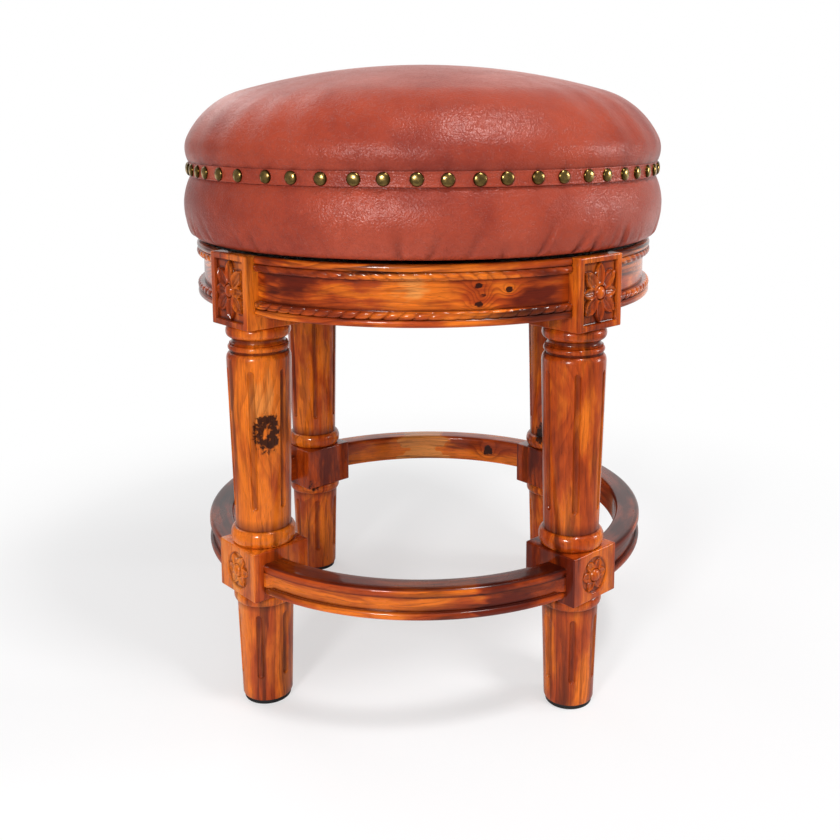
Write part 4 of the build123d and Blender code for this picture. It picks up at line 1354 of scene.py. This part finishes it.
class BuildLegs(bpy.types.Operator):
    """Turned, fluted and carved legs"""

    bl_idname = "stool.build_legs"
    bl_label = "Legs"

    def execute(self, context):
        wood = rosewood("rosewood_leg")
        for name, angle in leg_angles.items():
            skins = leg_skins(context.scene.stool_legs, name, angle)
            make_piece("turned_leg_" + name, skins, wood, "frame", ["leg_" + name])
        return {"FINISHED"}


class BuildFeet(bpy.types.Operator):
    """Rubber pads under the legs"""

    bl_idname = "stool.build_feet"
    bl_label = "Foot pads"

    def execute(self, context):
        rubber = worn_finish("pad_black", context.scene.stool_finishes.rubber, 0.5, 300.0, 0.6, 0.8)
        for name, angle in leg_angles.items():
            skins = [pad_skin(context.scene.stool_legs, angle)]
            make_piece("rubber_pad_" + name, skins, rubber, "frame", ["foot_pad_" + name])
        return {"FINISHED"}


class BuildApron(bpy.types.Operator):
    """Moulded rails of the round apron"""

    bl_idname = "stool.build_apron"
    bl_label = "Apron"

    def execute(self, context):
        wood = rosewood("rosewood_apron", 1.5, 190.0)
        for name, middle in rail_angles.items():
            skins, replaced = [apron_skin(context.scene.stool_rails, name, middle)], ["apron_rail_" + name]
            make_piece("moulded_rail_" + name, skins, wood, "frame", replaced, crease=32)
        return {"FINISHED"}


class BuildFootrest(bpy.types.Operator):
    """Stretchers of the round footrest"""

    bl_idname = "stool.build_footrest"
    bl_label = "Footrest"

    def execute(self, context):
        wood = rosewood("rosewood_rest")
        for name, middle in rail_angles.items():
            skins, replaced = [footrest_skin(context.scene.stool_rails, name, middle)], ["footrest_" + name]
            make_piece("stretcher_" + name, skins, wood, "frame", replaced, crease=32)
        return {"FINISHED"}


class BuildLeatherSide(bpy.types.Operator):
    """Gathered leather side of the seat"""

    bl_idname = "stool.build_leather_side"
    bl_label = "Leather side"

    def execute(self, context):
        skins, replaced = [side_skin(context.scene.stool_seat)], ["leather_side", "side_pad"]
        hide = leather("seat_leather", 9.0)
        side = make_piece("gathered_side", skins, hide, "seat", replaced, crease=60)
        return {"FINISHED"}


class BuildCushion(bpy.types.Operator):
    """Crowned leather cushion"""

    bl_idname = "stool.build_cushion"
    bl_label = "Cushion"

    def execute(self, context):
        skins, replaced = [cushion_skin(context.scene.stool_seat)], ["leather_top", "foam_crown"]
        hide = leather("seat_leather", 9.0)
        cushion = make_piece("crowned_cushion", skins, hide, "seat", replaced, crease=60)
        return {"FINISHED"}


class BuildBand(bpy.types.Operator):
    """Leather band and its domed nails"""

    bl_idname = "stool.build_band"
    bl_label = "Band and nails"

    def execute(self, context):
        seat = context.scene.stool_seat
        hide = leather("band_leather", 14.0)
        band, nails = [band_skin(seat)], nail_skins(seat)
        make_piece("folded_band", band, hide, "seat", ["leather_band"], crease=60)
        make_piece("domed_nails", nails, brass(), "seat", ["nailheads"], crease=60)
        return {"FINISHED"}


class DressHiddenParts(bpy.types.Operator):
    """Finishes of the board, blocks, swivel, drum and screws"""

    bl_idname = "stool.dress_hidden_parts"
    bl_label = "Board, swivel and drum"

    def execute(self, context):
        tints = context.scene.stool_finishes
        lacquer = worn_finish("black_lacquer", tints.lacquer, 0.5, 60.0, 0.2, 0.34, coat_weight=0.3)
        zinc = worn_finish("plate_steel", tints.steel, 0.7, 90.0, 0.28, 0.45, metallic=1.0)
        bolts = worn_finish("screw_steel", tints.steel, 0.55, 260.0, 0.25, 0.4, metallic=1.0)
        glide = worn_finish("glide_plastic", tints.nylon, 0.85, 140.0, 0.4, 0.55)
        blocks = ["corner_block_" + name for name in leg_angles]
        dress(plain_wood(), *blocks, "seat_base", "seat_hoop", "seat_deck")
        dress(zinc, "swivel_base_plate", "swivel_top_plate")
        dress(bolts, "swivel_pivot", "board_screws", "base_plate_screws", "top_plate_screws")
        dress(glide, "swivel_glide_ring")
        dress(lacquer, "top_board")
        return {"FINISHED"}


settings_groups = {
    "stool_legs": LegSizes,
    "stool_rails": RailSizes,
    "stool_seat": SeatSizes,
    "stool_finishes": Finishes,
    "stool_stage": StageSizes,
}
operators = (
    BuildStage,
    BuildLegs,
    BuildFeet,
    BuildApron,
    BuildFootrest,
    BuildLeatherSide,
    BuildCushion,
    BuildBand,
    DressHiddenParts,
)


class StoolPanel(bpy.types.Panel):
    """Lists the stool's pieces and their sizes."""

    bl_idname = "STOOL_PT_pieces"
    bl_label = "Stool"
    bl_space_type = "VIEW_3D"
    bl_region_type = "UI"
    bl_category = "Stool"

    def draw(self, context):
        for operator in operators:
            self.layout.operator(operator.bl_idname)
        for label, settings in settings_groups.items():
            box = self.layout.box()
            box.label(text=settings.bl_rna.name)
            for name in settings.__annotations__:
                box.prop(getattr(context.scene, label), name)


def register():
    for settings in settings_groups.values():
        bpy.utils.register_class(settings)
    for label, settings in settings_groups.items():
        setattr(bpy.types.Scene, label, bpy.props.PointerProperty(type=settings))
    for kind in (*operators, StoolPanel):
        bpy.utils.register_class(kind)


def unregister():
    for kind in reversed((*operators, StoolPanel)):
        bpy.utils.unregister_class(kind)
    for label in settings_groups:
        delattr(bpy.types.Scene, label)
    for settings in settings_groups.values():
        bpy.utils.unregister_class(settings)


def main():
    """Builds every piece."""
    register()
    for operator in operators:
        section_name, action = operator.bl_idname.split(".")
        getattr(getattr(bpy.ops, section_name), action)()


if __name__ == "__main__":
    main()
